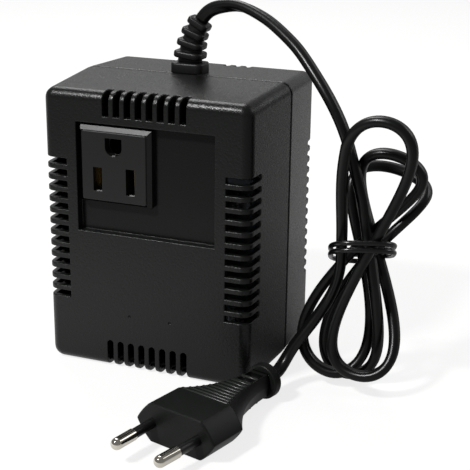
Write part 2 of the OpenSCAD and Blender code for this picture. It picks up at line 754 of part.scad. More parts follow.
// The socket: its face stands in the recess, its flange and ears lie behind the recess's floor
module socket_face(half, y) {
    translate([block_x, 0, 0])
        loft([case_ring(half - block_bevel, block_z - half + block_bevel, block_z + half - block_bevel,
                        block_corner_r, y),
              case_ring(half, block_z - half, block_z + half, block_corner_r, y + block_bevel),
              case_ring(root_w / 2, block_z - root_w / 2, block_z + root_w / 2, block_corner_r,
                        floor_front)]);
}
module centred_box(w, from_y, to_y) {
    block([block_x - w / 2, from_y, block_z - w / 2], [block_x + w / 2, to_y, block_z + w / 2]);
}
module socket_block() {
    color("#1a1a1c") difference() {
        union() {
            socket_face(socket_w / 2, y_front);
            centred_box(root_w - 2 * hair, floor_front - hair, floor_back + sink);
            centred_box(flange_w, floor_back, floor_back + flange_t);
            centred_box(socket_w, floor_back, block_back);
            for (p = ears)
                rod(p, ear_y, ear_t, ear_r);
            block([block_x, ear_y, ears[0].y - ear_r], [ears[0].x, ear_y + ear_t, ears[0].y + ear_r]);
            block([ears[1].x - ear_r, ear_y, ears[1].y], [ears[1].x + ear_r, ear_y + ear_t, block_z]);
        }
        for (p = ears)
            rod(p, ear_y - over, ear_t + 2 * over, small_r + screw_fit);
        for (side = [-1, 1]) {
            slot_h = side < 0 ? live_slot_h : neutral_slot_h;
            slot_x = block_x + side * slot_side;
            block([slot_x - slot_w / 2, y_front - over, slot_z - slot_h / 2],
                  [slot_x + slot_w / 2, y_front + face_t + sink, slot_z + slot_h / 2]);
            translate([slot_x, 0, slot_z]) mirror([side < 0 ? 1 : 0, 0, 0])
                block([-pocket_in, y_front + face_t, -pocket_h / 2],
                      [strip_out + screw_fit, block_back + over, pocket_h / 2]);
        }
        rod([block_x, earth_z], y_front - over, face_t + over + sink, earth_hole_d / 2);
        block([block_x - earth_hole_d / 2, y_front - over, earth_z],
              [block_x + earth_hole_d / 2, y_front + face_t + sink, earth_z + earth_hole_d / 2]);
        rod([block_x, earth_z], y_front + face_t, socket_d, earth_r + screw_fit);
        for (p = cover_holes)
            rod(p, block_back - cover_grip - over, cover_grip + 2 * over, small_r + screw_fit);
    }
}

module socket_screws() {
    color("#9a9b9f") for (p = ears)
        screw_from_back(p, ear_y + ear_t, small_screw_d, ear_t + ear_boss_h + wall - ear_skin - fit,
                        small_head_d, small_head_h);
}

module socket_cover() {
    color("#2a2a2c") difference() {
        centred_box(cover_w, block_back, block_back + cover_t);
        for (p = cover_holes)
            rod(p, block_back - over, cover_t + 2 * over, small_r + screw_fit);
        for (side = [-1, 1])
            block([block_x + side * slot_side - strip_t / 2 - fit, block_back - over,
                   slot_z - tail_h / 2 - fit],
                  [block_x + side * slot_side + strip_t / 2 + fit, block_back + cover_t + over,
                   slot_z + tail_h / 2 + fit]);
    }
}

module cover_screws() {
    color("#9a9b9f") for (p = cover_holes)
        screw_from_back(p, block_back + cover_t, small_screw_d, cover_t + cover_grip,
                        small_head_d, small_head_h);
}

// The fixed half of a contact, and the sprung leaf that faces it, for the slot on one side
module at_slot(side) {
    translate([block_x + side * slot_side, y_front, slot_z]) mirror([side < 0 ? 1 : 0, 0, 0]) children();
}
module contact(side) {
    at_slot(side) {
        block([strip_in, contact_front, -contact_h / 2], [strip_out, socket_d, contact_h / 2]);
        block([cross_end, socket_d - strip_t, -contact_h / 2], [strip_out, socket_d, contact_h / 2]);
        block([-strip_t / 2, socket_d - strip_t, -tail_h / 2], [strip_t / 2, socket_d + tail_l, tail_h / 2]);
    }
}
module leaf(side) {
    at_slot(side) translate([0, 0, -leaf_h / 2]) {
        translate(bead) cylinder(r = bead_r, h = leaf_h);
        linear_extrude(leaf_h) {
            strip_2d(bead, nose, leaf_t);
            strip_2d(nose, flare_end, leaf_t);
        }
    }
}
module live_contact() {
    color("#c79a3e") contact(-1);
}
module live_leaf() {
    color("#d0a548") leaf(-1);
}
module neutral_contact() {
    color("#c79a3e") contact(1);
}
module neutral_leaf() {
    color("#d0a548") leaf(1);
}
module earth_contact() {
    color("#c79a3e") difference() {
        rod([block_x, earth_z], y_front + earth_front, earth_l, earth_r);
        rod([block_x, earth_z], y_front + earth_front - over, earth_l + 2 * over, earth_bore_r);
        block([block_x - earth_split / 2, y_front + earth_front - over, earth_z - earth_r - over],
              [block_x + earth_split / 2, y_front + earth_front + earth_l + over, earth_z]);
    }
}

// Laminations: the E carries the windings on its middle limb, the I closes it
module core_bolt_holes() {
    for (p = core_holes)
        rod(p, core_y - over, stack + 2 * over, core_screw_d / 2 + screw_fit);
}
module core_e_stack() {
    color("#6f6c68") difference() {
        block([-core_w / 2, core_y, core_lift], [core_w / 2, core_y + stack, window_top]);
        for (x = [-2 * lam, lam])
            block([x, core_y - over, window_low], [x + lam, core_y + stack + over, window_top + over]);
        core_bolt_holes();
    }
}
module core_i_stack() {
    color("#77746f") difference() {
        block([-core_w / 2, core_y, window_top], [core_w / 2, core_y + stack, window_top + lam]);
        core_bolt_holes();
    }
}
module core_screws() {
    color("#9a9b9f") for (p = core_holes)
        screw_from_front(p, core_y - washer_t, core_screw_d, washer_t + stack + core_grip,
                         core_head_d, core_head_h);
}
module core_washers() {
    color("#a8a9ad") for (p = core_holes)
        difference() {
            rod(p, core_y - washer_t, washer_t, washer_d / 2);
            rod(p, core_y - washer_t - over, washer_t + 2 * over, core_screw_d / 2 + screw_fit);
        }
}

module bobbin() {
    color("#e4ddc8") difference() {
        union() {
            for (z = [window_low + limb_fit, flange_top - coil_flange_t])
                block([-coil_flange_x, core_mid - coil_flange_y, z],
                      [coil_flange_x, core_mid + coil_flange_y, z + coil_flange_t]);
            translate([0, core_mid, window_low + limb_fit])
                linear_extrude(flange_top - window_low - limb_fit)
                    round_rect(2 * spool_x, 2 * spool_y, spool_corner_r);
        }
        block([-lam - limb_fit, core_y - limb_fit, window_low - over],
              [lam + limb_fit, core_y + stack + limb_fit, window_top + over]);
    }
}

// A layer wound on the bobbin: how far it starts from the spool, and its thickness
module layer(inset, t) {
    translate([0, core_mid, coil_low]) linear_extrude(coil_top - coil_low) difference() {
        round_rect(2 * (spool_x + inset + t), 2 * (spool_y + inset + t), spool_corner_r + inset + t);
        round_rect(2 * (spool_x + inset), 2 * (spool_y + inset), spool_corner_r + inset);
    }
}
module common_winding() {
    color("#b5602c") layer(layer_gap, copper_t);
}
module layer_paper() {
    color("#d9c48f") layer(paper_in, paper_t);
}
module series_winding() {
    color("#a9562a") layer(series_in, copper_t);
}
module winding_tape() {
    color("#d8b92f") layer(tape_in, tape_t);
}
module terminal_pins() {
    color("#c9cacd") for (x = terminal_xs)
        translate([x, terminal_y, flange_top]) cylinder(d = terminal_d, h = terminal_h);
}

// A rod along X, centred
module cross_rod(l, r) {
    translate([-l / 2, fuse_y, fuse_z]) rotate([0, 90, 0]) cylinder(r = r, h = l);
}
module thermal_fuse() {
    color("#d6d7da") {
        cross_rod(fuse_l, fuse_r);
        cross_rod(2 * fuse_lead_x, fuse_lead_r);
    }
}
module fuse_sleeve() {
    color("#ece8df") difference() {
        cross_rod(sleeve_l, sleeve_r);
        cross_rod(sleeve_l + 2 * over, fuse_r + layer_gap);
    }
}

// A round insulated lead
module lead(route) {
    loft(tube_rings(route, same([0.3, 0.2, 1], route), lead_r, lead_r, cord_sides));
}
module lead_live_in() {
    color("#6b3f22") lead(live_in_route);
}
module lead_fuse_link() {
    color("#6b3f22") lead(fuse_link_route);
}
module lead_neutral_in() {
    color("#2b5fa8") lead(neutral_in_route);
}
module lead_live_out() {
    color("#1d1d1f") lead(live_out_route);
}
module lead_neutral_out() {
    color("#e9e9e6") lead(neutral_out_route);
}

module strain_relief() {
    color("#1b1b1d") difference() {
        union() {
            translate([relief_x, relief_y, inner_flange_top - inner_flange_h]) {
                linear_extrude(inner_flange_h) round_rect(collar_w, collar_d, relief_corner_r);
                linear_extrude(collar_top - inner_flange_top)
                    round_rect(neck_w, neck_d, relief_corner_r / 2);
            }
            translate([relief_x, relief_y, top_split + hair])
                linear_extrude(collar_h - hair) round_rect(collar_w, collar_d, relief_corner_r);
            loft([for (i = [0 : 2 * ribs])
                let (s = i * rib_pitch / 2 - (i == 0 ? sink : 0), rib = rib_width(i / 2 - 0.5))
                    section(relief_point(s), relief_aim(s), across, (rib - relief_waist) / 2,
                            max((rib - rib_flat) / 2 - waist_deep, cord_t / 2 + relief_wall),
                            2 * cord_sides)]);
            for (i = [0 : ribs - 1])
                let (s = (i + 1) * rib_pitch - rib_h, middle = s + rib_h / 2)
                    translate(relief_point(middle)) rotate([0, relief_turn(middle), 0])
                        translate([0, 0, -rib_h / 2])
                            linear_extrude(rib_h)
                                round_rect(rib_width(i), rib_width(i) - rib_flat, relief_corner_r);
        }
        loft(inlet_rings(bore_gap, over));
    }
}

module cord_inlet() {
    color("#161617") loft(inlet_rings(0, 0));
}

module cord_clamp() {
    color("#2a2a2c") difference() {
        block([relief_x - clamp_w / 2, clamp_bar_y - clamp_t, clamp_z - clamp_h / 2],
              [relief_x + clamp_w / 2, clamp_bar_y, clamp_z + clamp_h / 2]);
        for (sx = [-1, 1])
            rod([relief_x + sx * clamp_side, clamp_z], clamp_bar_y - clamp_t - over, clamp_t + 2 * over,
                small_r + screw_fit);
    }
}
module clamp_screws() {
    color("#9a9b9f") for (sx = [-1, 1])
        screw_from_front([relief_x + sx * clamp_side, clamp_z], clamp_bar_y - clamp_t, small_screw_d,
                         clamp_rib_y - clamp_bar_y + clamp_t + clamp_grip, small_head_d, small_head_h);
}

module cord_arc() {
    color("#161617") loft(cord_rings(arc_route, arc_wides));
}
module cord_hank() {
    color("#161617")
        loft(tube_rings(hank_route, same(across, hank_route), cord_t / 2 * flat_out(hank_sides), cord_w / 2,
                        hank_sides));
}
module cord_tail() {
    color("#161617") loft(cord_rings(tail_route, tail_wides));
}
module cord_tie() {
    color("#121213")
        loft(tube_rings(tie_route, same([0, 0, 1], tie_route), tie_d / 2, tie_d / 2, tie_sides));
}

// The plug's own frame: y runs from the ends of the pins to the cord
module at_plug() {
    translate([plug_tip.x, plug_tip.y, plug_z]) rotate([0, 0, plug_turn]) children();
}
// A pin's own frame: 0 is the plug's face, and y runs into the plug
module at_pin(side) {
    at_plug() translate([side * pin_pitch / 2, plug_face, 0]) rotate([0, 0, -side * pin_splay]) children();
}
module along_y(y, l, d) {
    translate([0, y, 0]) rotate([-90, 0, 0]) cylinder(d = d, h = l);
}
module plug_body() {
    color("#19191b") difference() {
        at_plug() {
            loft(plug_rings);
            along_y(disc_from - sink, plug_disc_t + sink, plug_disc_d);
        }
        for (side = [-1, 1])
            at_pin(side) {
                along_y(-over, over + sleeve_root_l + hair, pin_sleeve_d + 2 * hair);
                along_y(0, pin_root_l + hair, pin_core_d + 2 * hair);
            }
        at_plug() for (i = [0, 1], side = [-1, 1])
            translate([-neck_window_w / 2, neck_window_from + i * neck_window_pitch,
                       side > 0 ? neck_half_t - neck_window_d : -plug_t])
                cube([neck_window_w, neck_window_l, plug_t + neck_window_d - neck_half_t]);
    }
}
module plug_pins() {
    color("#c8c9cc") for (side = [-1, 1])
        at_pin(side) {
            along_y(pin_bare_l - pin_l, pin_l - pin_bare_l + pin_root_l, pin_core_d);
            along_y(pin_d / 2 - pin_l, pin_bare_l - pin_d / 2, pin_d);
            translate([0, pin_d / 2 - pin_l, 0]) sphere(d = pin_d);
        }
}
module pin_sleeves() {
    color("#1d1d1f") for (side = [-1, 1])
        at_pin(side) difference() {
            along_y(pin_bare_l - pin_l, pin_l - pin_bare_l + sleeve_root_l, pin_sleeve_d);
            along_y(pin_bare_l - pin_l - over, pin_l + sleeve_root_l, pin_core_d + 2 * hair);
        }
}

front_shell();
rear_shell();
case_screws();
socket_block();
socket_screws();
socket_cover();
cover_screws();
live_contact();
live_leaf();
neutral_contact();
neutral_leaf();
earth_contact();
core_e_stack();
core_i_stack();
core_screws();
core_washers();
bobbin();
common_winding();
layer_paper();
series_winding();
winding_tape();
terminal_pins();
thermal_fuse();
fuse_sleeve();
lead_live_in();
lead_fuse_link();
lead_neutral_in();
lead_live_out();
lead_neutral_out();
strain_relief();
cord_inlet();
cord_clamp();
clamp_screws();
cord_arc();
cord_hank();
cord_tail();
cord_tie();
plug_body();
plug_pins();
pin_sleeves();
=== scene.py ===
# %% [markdown]
# # A travel voltage converter
# A small step-down transformer lives in a black two-shell case. A three-pin socket faces the front,
# a ribbed strain relief lets a flat cord out of the top, and the cord is tied in a hank and ends in
# a slim two-pin plug. The construction comes as a fixed frame of solids at their real size. This
# lesson gives each piece its surface. Sizes are written in millimetres, and MM turns them into the
# metres that the scene counts in.

# %% Load the frame
import json
import math

import bmesh
import bpy
from mathutils import Matrix, Vector

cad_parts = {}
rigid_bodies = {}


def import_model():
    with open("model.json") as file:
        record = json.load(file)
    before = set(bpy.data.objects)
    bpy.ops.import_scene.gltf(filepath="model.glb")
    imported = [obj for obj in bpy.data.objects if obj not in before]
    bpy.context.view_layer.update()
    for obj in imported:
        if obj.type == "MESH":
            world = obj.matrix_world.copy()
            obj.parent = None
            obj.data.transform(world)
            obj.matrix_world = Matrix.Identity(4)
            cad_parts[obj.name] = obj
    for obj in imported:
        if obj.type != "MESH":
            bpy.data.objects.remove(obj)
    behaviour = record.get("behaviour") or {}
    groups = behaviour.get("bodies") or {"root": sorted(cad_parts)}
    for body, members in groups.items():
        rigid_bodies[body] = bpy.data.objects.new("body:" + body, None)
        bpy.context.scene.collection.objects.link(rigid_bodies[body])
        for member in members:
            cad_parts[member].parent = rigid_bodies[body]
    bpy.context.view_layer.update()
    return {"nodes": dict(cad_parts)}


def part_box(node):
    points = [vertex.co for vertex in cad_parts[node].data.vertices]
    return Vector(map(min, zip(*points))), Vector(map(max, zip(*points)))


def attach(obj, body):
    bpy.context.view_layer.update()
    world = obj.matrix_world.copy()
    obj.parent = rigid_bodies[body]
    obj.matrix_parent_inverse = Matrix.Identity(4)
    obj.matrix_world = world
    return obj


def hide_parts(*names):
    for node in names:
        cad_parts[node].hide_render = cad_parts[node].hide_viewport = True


for leftover in list(bpy.data.objects):
    bpy.data.objects.remove(leftover)
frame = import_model()
BODY = "converter"
MM = 0.001

# %% [markdown]
# ## Camera
# The picture is taken with a long lens from a little above and to the right of the socket. Its
# place, turn and focal length were worked out from the case's edges, so the camera is written down
# as those few numbers.

# %% Camera
CAMERA_AT = Vector((173.9, -390.1, 185.9)) * MM
AZIMUTH = math.radians(21.37)
ELEVATION = math.radians(18.48)
ROLL = math.radians(0.70)
FOCAL_PX = 1196.8
FRAME_PX = 470
SENSOR_MM = 36
CLIP_M = 0.01

scene = bpy.context.scene
back = Vector((math.sin(AZIMUTH) * math.cos(ELEVATION), -math.cos(AZIMUTH) * math.cos(ELEVATION),
               math.sin(ELEVATION)))
level = Vector((math.cos(AZIMUTH), math.sin(AZIMUTH), 0))
upright = back.cross(level)
right = level * math.cos(ROLL) + upright * math.sin(ROLL)
up = upright * math.cos(ROLL) - level * math.sin(ROLL)
camera = bpy.data.objects.new("camera", bpy.data.cameras.new("camera"))
camera.data.sensor_width = SENSOR_MM
camera.data.lens = SENSOR_MM * FOCAL_PX / FRAME_PX
camera.data.clip_start = CLIP_M
camera.matrix_world = Matrix.Translation(CAMERA_AT) @ Matrix((right, up, back)).transposed().to_4x4()
scene.collection.objects.link(camera)
scene.camera = camera
scene.view_settings.view_transform = "Standard"
print("lens:", round(camera.data.lens, 1), "mm")

# %% [markdown]
# ## Mesh helpers
# Most pieces here are a row of rings: a cord, a wire, a plug or a rounded slab is the same outline
# carried along a line. So a few small functions make rings, close them into a solid and turn an
# evaluated object into a mesh.

# %% Mesh helpers
def piece(name, vertices, faces, smooth=True):
    """A new object from points in metres and faces, with its place in its mesh."""
    mesh = bpy.data.meshes.new(name)
    mesh.from_pydata([tuple(v) for v in vertices], [], faces)
    mesh.validate()
    mesh.polygons.foreach_set("use_smooth", [smooth] * len(mesh.polygons))
    made = bpy.data.objects.new(name, mesh)
    scene.collection.objects.link(made)
    return made


def loft(rings):
    """Vertices and faces of a solid through rings of equal length, with both ends closed."""
    n = len(rings[0])
    last = (len(rings) - 1) * n
    faces = [(i * n + j, i * n + (j + 1) % n, (i + 1) * n + (j + 1) % n, (i + 1) * n + j)
             for i in range(len(rings) - 1) for j in range(n)]
    faces.append(tuple(reversed(range(n))))
    faces.append(tuple(range(last, last + n)))
    return [v for ring in rings for v in ring], faces


def solids(name, *ring_lists):
    """One object of several closed lofts, given in millimetres."""
    vertices, faces = [], []
    for rings in ring_lists:
        points, sides = loft(rings)
        faces += [tuple(i + len(vertices) for i in side) for side in sides]
        vertices += [p * MM for p in points]
    return outwards(piece(name, vertices, faces))


def sweep(line, wides, profile):
    """Rings of a profile along a line, its second axis as near as can be to the wide directions."""
    rings = []
    for i, (p, wide) in enumerate(zip(line, wides)):
        along = (line[min(i + 1, len(line) - 1)] - line[max(i - 1, 0)]).normalized()
        across = (wide - wide.dot(along) * along).normalized()
        thin = along.cross(across)
        rings.append([p + x * thin + y * across for x, y in profile])
    return rings


def outwards(made):
    """Turns every face of a closed mesh outwards."""
    mesh = bmesh.new()
    mesh.from_mesh(made.data)
    bmesh.ops.recalc_face_normals(mesh, faces=mesh.faces)
    mesh.to_mesh(made.data)
    mesh.free()
    return made


def baked(made, name):
    """The evaluated object as a plain mesh object: modifiers become geometry."""
    graph = bpy.context.evaluated_depsgraph_get()
    mesh = bpy.data.meshes.new_from_object(made.evaluated_get(graph))
    mesh.name = name
    bpy.data.objects.remove(made)
    plain = bpy.data.objects.new(name, mesh)
    scene.collection.objects.link(plain)
    return plain


def turns(count):
    """The angles of a full turn in even steps."""
    return [math.tau * k / count for k in range(count)]


# The corners of a square, in turn
CORNERS = ((-1, -1), (1, -1), (1, 1), (-1, 1))
print("mesh helpers ready")

# %% [markdown]
# ## The cord
# A flat two-core mains lead is 5 mm wide and 3.6 mm thick, with a shallow groove along each wide
# side. It is all in view, so its length is what the route measures. It leaves the strain relief,
# arcs over to the right, runs six half loops through the tie as a figure of eight, and drops to
# the plug. A curve with a bevel profile would be quick, but a flat cord has to turn its wide side on
# purpose, so the tube is swept with a chosen wide direction.

# %% Where the cord starts and ends
CORD_W = 5.0
CORD_T = 3.6
RELIEF_AT = (-0.2, 7.8)
COLLAR_TOP = 107.3
RELIEF_L = 16.0
RELIEF_LEAN = math.radians(32)
RELIEF_ARC = RELIEF_L / RELIEF_LEAN
PLUG_TIP = Vector((28.2, -99.85, 7.0))
PLUG_TURN = math.radians(-15.8)
PIN_L = 19.0
BLOCK_L = 14.7
NECK_L = 31.5
DISC_T = 3.8
DEPTH = Vector((0, 1, 0))


def relief_aim(s):
    """The direction of the strain relief's middle line, a length s above its collar."""
    return Vector((math.sin(RELIEF_LEAN * s / RELIEF_L), 0, math.cos(RELIEF_LEAN * s / RELIEF_L)))


def relief_point(s):
    """A point of the strain relief's middle line."""
    turn = RELIEF_LEAN * s / RELIEF_L
    return Vector((RELIEF_AT[0] + RELIEF_ARC * (1 - math.cos(turn)), RELIEF_AT[1],
                   COLLAR_TOP + RELIEF_ARC * math.sin(turn)))


def plug_at(s):
    """A point of the plug's middle line, where s counts from the ends of the pins."""
    return PLUG_TIP + Matrix.Rotation(PLUG_TURN, 3, "Z") @ Vector((0, s, 0))


relief_end = relief_point(RELIEF_L)
plug_end = PIN_L + BLOCK_L + NECK_L + DISC_T
print("cord from", [round(x, 1) for x in relief_end], "to", [round(x, 1) for x in plug_at(plug_end)])

# %% Hank
WAIST = Vector((74, -11, 51))
LOBE_REACH = [49, 24.5, 46.5, 35.5, 42.5, 49.5]
LOBE_WIDTH = [19, 24, 23.5, 20.5, 21.5, 21.5]
LOBE_LEAN = [8, 15, 13.5, 17.5, -5.5, 11]
LOBE_BACK = [2.5, 20.5, -5.5, 0, -11, -14.5]
LOBE_DROP = 0.07
PASS_ACROSS = [3, 2.5, -4.5, -3, 1, 2.5, -4.5]
PASS_BACK = [-5, 0.5, 7, 1, 8, -10.5, -9]
HANK_FROM = -0.1
HANK_TO = 5.9
STEPS_A_LOBE = 64


def soft_step(f):
    """A rise from 0 to 1 that starts and ends level."""
    return f * f * (3 - 2 * f)


def blend(values, h):
    """A soft step from one listed value to the next."""
    last = len(values) - 1
    g = min(max(h, 0), last)
    i = min(int(g), last - 1)
    return values[i] + (values[i + 1] - values[i]) * soft_step(g - i)


def hank_point(h):
    """A point of the figure of eight: it passes the tie at whole numbers, and a lobe ends at halves."""
    turn = math.pi * h
    lobe = h - 0.5
    pinch = math.cos(turn) ** 2
    lean = math.radians(blend(LOBE_LEAN, lobe))
    eight = math.sin(2 * turn) - LOBE_DROP * math.sin(4 * turn)
    x = blend(LOBE_WIDTH, lobe) / 2 * eight + blend(PASS_ACROSS, h) * pinch
    z = -blend(LOBE_REACH, lobe) * math.sin(turn)
    y = blend(PASS_BACK, h) * pinch + blend(LOBE_BACK, lobe) * (1 - pinch)
    return WAIST + Vector((x * math.cos(lean) + z * math.sin(lean), y,
                           z * math.cos(lean) - x * math.sin(lean)))


hank_steps = round((HANK_TO - HANK_FROM) * STEPS_A_LOBE)
hank = [hank_point(HANK_FROM + (HANK_TO - HANK_FROM) * i / hank_steps) for i in range(hank_steps + 1)]
print("hank:", len(hank), "points")

# %% Cord route
STEPS_A_SPAN = 5
SMOOTHINGS = 20
JOIN_STEPS = 10
ARC_TURNED = 0.4
ARC_POINTS = (
    (12, 7, 128), (16, 6.5, 129), (21, 5.5, 129), (26, 3.5, 127.5), (32, 1.5, 125.5),
    (37.5, -1.5, 122.5), (42.5, -4, 119.5), (47, -6.5, 116.5), (52.5, -10, 111), (58, -13, 105.5),
    (62.5, -15, 99.5), (65.5, -15.5, 94), (68, -15.5, 87.5), (70, -15.5, 80))
TAIL_POINTS = (
    (68, -19, 46.5), (66, -17, 40.5), (64, -16, 35), (61.5, -16.5, 30), (58, -18.5, 24),
    (54.5, -20.5, 19), (51.5, -21.5, 14), (50, -23, 10.5), (49, -25.5, 8))


def through(points):
    """A line near chosen points, smoothed as a stiff cord would be, and its points' places, 0 to 1."""
    ends = [points[0] * 2 - points[1], *points, points[-1] * 2 - points[-2]]
    line = []
    for a, b, c, d in zip(ends, ends[1:], ends[2:], ends[3:]):
        for i in range(STEPS_A_SPAN):
            t = i / STEPS_A_SPAN
            line.append((b * 2 + (c - a) * t + (a * 2 - b * 5 + c * 4 - d) * t ** 2
                         + (b * 3 - a - c * 3 + d) * t ** 3) / 2)
    line.append(points[-1])
    # Each pass keeps both ends as they are and adds a point before the last two
    for _ in range(SMOOTHINGS):
        inner = [(a + b * 2 + c) / 4 for a, b, c in zip(line[1:], line[2:], line[3:])]
        line = line[:2] + inner + line[-2:]
    return line, [i / (len(line) - 1) for i in range(len(line))]


into_hank = (hank[1] - hank[0]).normalized() * CORD_W
out_of_hank = (hank[-1] - hank[-2]).normalized() * CORD_W
arc, arc_place = through([relief_end, relief_end + relief_aim(RELIEF_L) * CORD_W,
                          *(Vector(p) for p in ARC_POINTS), hank[0] - into_hank, hank[0]])
tail, tail_place = through([hank[-1], hank[-1] + out_of_hank, *(Vector(p) for p in TAIL_POINTS),
                            plug_at(plug_end + CORD_W), plug_at(plug_end)])
relief_side = Vector((math.cos(RELIEF_LEAN), 0, -math.sin(RELIEF_LEAN)))
plug_side = Matrix.Rotation(PLUG_TURN, 3, "Z") @ Vector((-1, 0, 0))
arc_wides = [relief_side.lerp(DEPTH, soft_step(min(f / ARC_TURNED, 1))) for f in arc_place]
tail_wides = [DEPTH.lerp(plug_side, f) for f in tail_place]
route = [p * MM for p in arc[:-1] + hank[:-1] + tail]
wides = arc_wides[:-1] + [DEPTH] * (len(hank) - 1) + tail_wides
# Each line was smoothed by itself, so the two joins are smoothed once more
for join in (len(arc) - 1, len(arc) + len(hank) - 2):
    first = join - JOIN_STEPS
    last = join + JOIN_STEPS
    for _ in range(SMOOTHINGS):
        route[first:last] = [(a + b * 2 + c) / 4 for a, b, c in
                             zip(route[first - 1:], route[first:last], route[first + 1:])]

# %% Cord
LOBE_POINTS = 11
CORE_R = CORD_T / 2
CORE_SIDE = (CORD_W - CORD_T) / 2
core_sweep = math.acos(-CORE_SIDE / CORE_R)
cord_profile = []
for side in (1, -1):
    for i in range(LOBE_POINTS):
        a = core_sweep * (2 * i / LOBE_POINTS - 1)
        x = side * CORE_R * math.sin(a)
        y = side * (CORE_SIDE + CORE_R * math.cos(a))
        cord_profile.append((x * MM, y * MM))
flat_cord = outwards(piece("flat_cord", *loft(sweep(route, wides, cord_profile))))
print("cord mesh:", len(flat_cord.data.polygons), "faces")

# %% [markdown]
# ## The tie
# A length of thin covered wire goes twice round the bundle and pinches it, with its front higher
# than its back. Its line is a flat helix with full corners, so a formula gives it, and a round
# profile is swept along it.

# %% Tie
TIE_D = 1.8
TIE_HALF = (10.8, 14.3)
TIE_POWER = 0.6
TIE_SKEW = math.radians(16)
TIE_TILT = math.tan(math.radians(24))
TIE_RISE = 2.5
TIE_TURNS = 2
TIE_STEPS = 64
TIE_SIDES = 12
TIE_MID = WAIST + Vector((-0.8, -1.8, 0))


def fuller(v):
    """A sine or cosine pushed out towards its limits, which squares a circle's corners."""
    return math.copysign(abs(v) ** TIE_POWER, v)


tie_line = []
for i in range(TIE_TURNS * TIE_STEPS + 1):
    a = math.tau * i / TIE_STEPS + math.pi / 2
    x = TIE_HALF[0] * fuller(math.cos(a))
    y = TIE_HALF[1] * fuller(math.sin(a))
    flat = Matrix.Rotation(TIE_SKEW, 3, "Z") @ Vector((x, y, 0))
    rise = TIE_RISE * (i / TIE_STEPS - TIE_TURNS / 2) - y * TIE_TILT
    tie_line.append(TIE_MID + flat + Vector((0, 0, rise)))
tie_profile = [(TIE_D / 2 * math.cos(a), TIE_D / 2 * math.sin(a)) for a in turns(TIE_SIDES)]
tie_wire = solids("tie_wire", sweep(tie_line, [Vector((0, 0, 1))] * len(tie_line), tie_profile))
print("tie:", len(tie_wire.data.polygons), "faces")

# %% [markdown]
# ## How the finishes are written
# Every finish starts from what the real surface is. Colours are written as sRGB hex values and
# turned to linear by one function, and one function adds a node with its settings and links, for
# materials and for Geometry Nodes. Most surfaces here are two close tones that drift into each
# other, with a fine grain that roughens and dents them. Some also have even bands: the turns of a
# winding or the edges of stacked steel sheets.

# %% Node helpers
def linear(hex_colour):
    """An sRGB hex colour as linear red, green, blue and alpha."""
    channels = [int(hex_colour[i:i + 2], 16) / 255 for i in (1, 3, 5)]
    return [c / 12.92 if c <= 0.04045 else ((c + 0.055) / 1.055) ** 2.4 for c in channels] + [1.0]


def add(tree, kind, inputs=None, **settings):
    """Adds a node, sets its properties, and gives its inputs values or links."""
    made = tree.nodes.new(kind)
    for key, value in settings.items():
        setattr(made, key, value)
    for key, value in (inputs or {}).items():
        if isinstance(value, bpy.types.NodeSocket):
            tree.links.new(value, made.inputs[key])
        else:
            made.inputs[key].default_value = value
    return made


def blank(name):
    """A material with an empty node tree."""
    made = bpy.data.materials.new(name)
    made.use_nodes = True
    made.node_tree.nodes.clear()
    return made, made.node_tree


def ranged(tree, value, given, wanted):
    """A value moved from one range to another."""
    return add(tree, "ShaderNodeMapRange", {
        "Value": value, "From Min": given[0], "From Max": given[1],
        "To Min": wanted[0], "To Max": wanted[1]}).outputs["Result"]


def reckon(tree, operation, a, b):
    """What one sum makes of two values."""
    return add(tree, "ShaderNodeMath", {0: a, 1: b}, operation=operation).outputs[0]


print("node helpers ready")

# %% How a finish is built
# The bands of a wave texture with a scale of 1 are this far apart
WAVE_TURN = math.tau / 20
MOTTLE_DETAIL = 3.0
GRAIN_DETAIL = 2.0


def surface(name, dark, light, mottle_mm, rough, grain_mm, dent_mm, bands=None, **sockets):
    """A finish of two drifting tones with a grain, and with bands if (axis, pitch, depth) are given."""
    made, tree = blank(name)
    where = add(tree, "ShaderNodeTexCoord").outputs["Object"]
    mottle, grain = [
        add(tree, "ShaderNodeTexNoise", {"Vector": where, "Scale": 1 / (size * MM), "Detail": detail})
        for size, detail in ((mottle_mm, MOTTLE_DETAIL), (grain_mm, GRAIN_DETAIL))]
    tone = add(tree, "ShaderNodeMix", {
        "Factor": mottle.outputs["Fac"], "A": linear(dark), "B": linear(light)}, data_type="RGBA")
    gloss = ranged(tree, grain.outputs["Fac"], (0, 1), rough)
    dents = add(tree, "ShaderNodeBump", {"Height": grain.outputs["Fac"], "Distance": dent_mm * MM})
    if bands:
        axis, pitch_mm, depth_mm = bands
        wave = add(tree, "ShaderNodeTexWave", {"Vector": where, "Scale": WAVE_TURN / (pitch_mm * MM)},
                   bands_direction=axis)
        dents = add(tree, "ShaderNodeBump", {
            "Height": wave.outputs["Fac"], "Distance": depth_mm * MM, "Normal": dents.outputs["Normal"]})
    shader = add(tree, "ShaderNodeBsdfPrincipled", {
        "Base Color": tone.outputs["Result"], "Roughness": gloss, "Normal": dents.outputs["Normal"]})
    for key, value in sockets.items():
        shader.inputs[key.replace("_", " ")].default_value = value
    add(tree, "ShaderNodeOutputMaterial", {"Surface": shader.outputs["BSDF"]})
    return made


print("finishes can be built")

# %% [markdown]
# ## Black plastics
# The case is ABS from a spark-eroded mould: a satin black whose fine grain breaks up every highlight.
# The recess round the socket gets a smoother, duller finish that reads darker, as painted shade. The
# socket is a harder resin. The cord, its strain relief, the plug and the tie are soft PVC with longer
# highlights, and the plug's grip ribs and window bars get a lighter, glossier PVC as a painted sheen.
# Each is its own material, because the eye tells them apart by gloss more than by colour. The mould's
# grain is about 0.2 mm on the real case. It is drawn at 0.55 mm, because a finer one wouldn't show.

# %% Black plastics
# Satin black with a fine sparkle along lit edges
moulded_abs = surface("moulded_black_abs", "#0e100e", "#131513", 14, (0.22, 0.36), 0.55, 0.1,
                      Specular_IOR_Level=0.26)
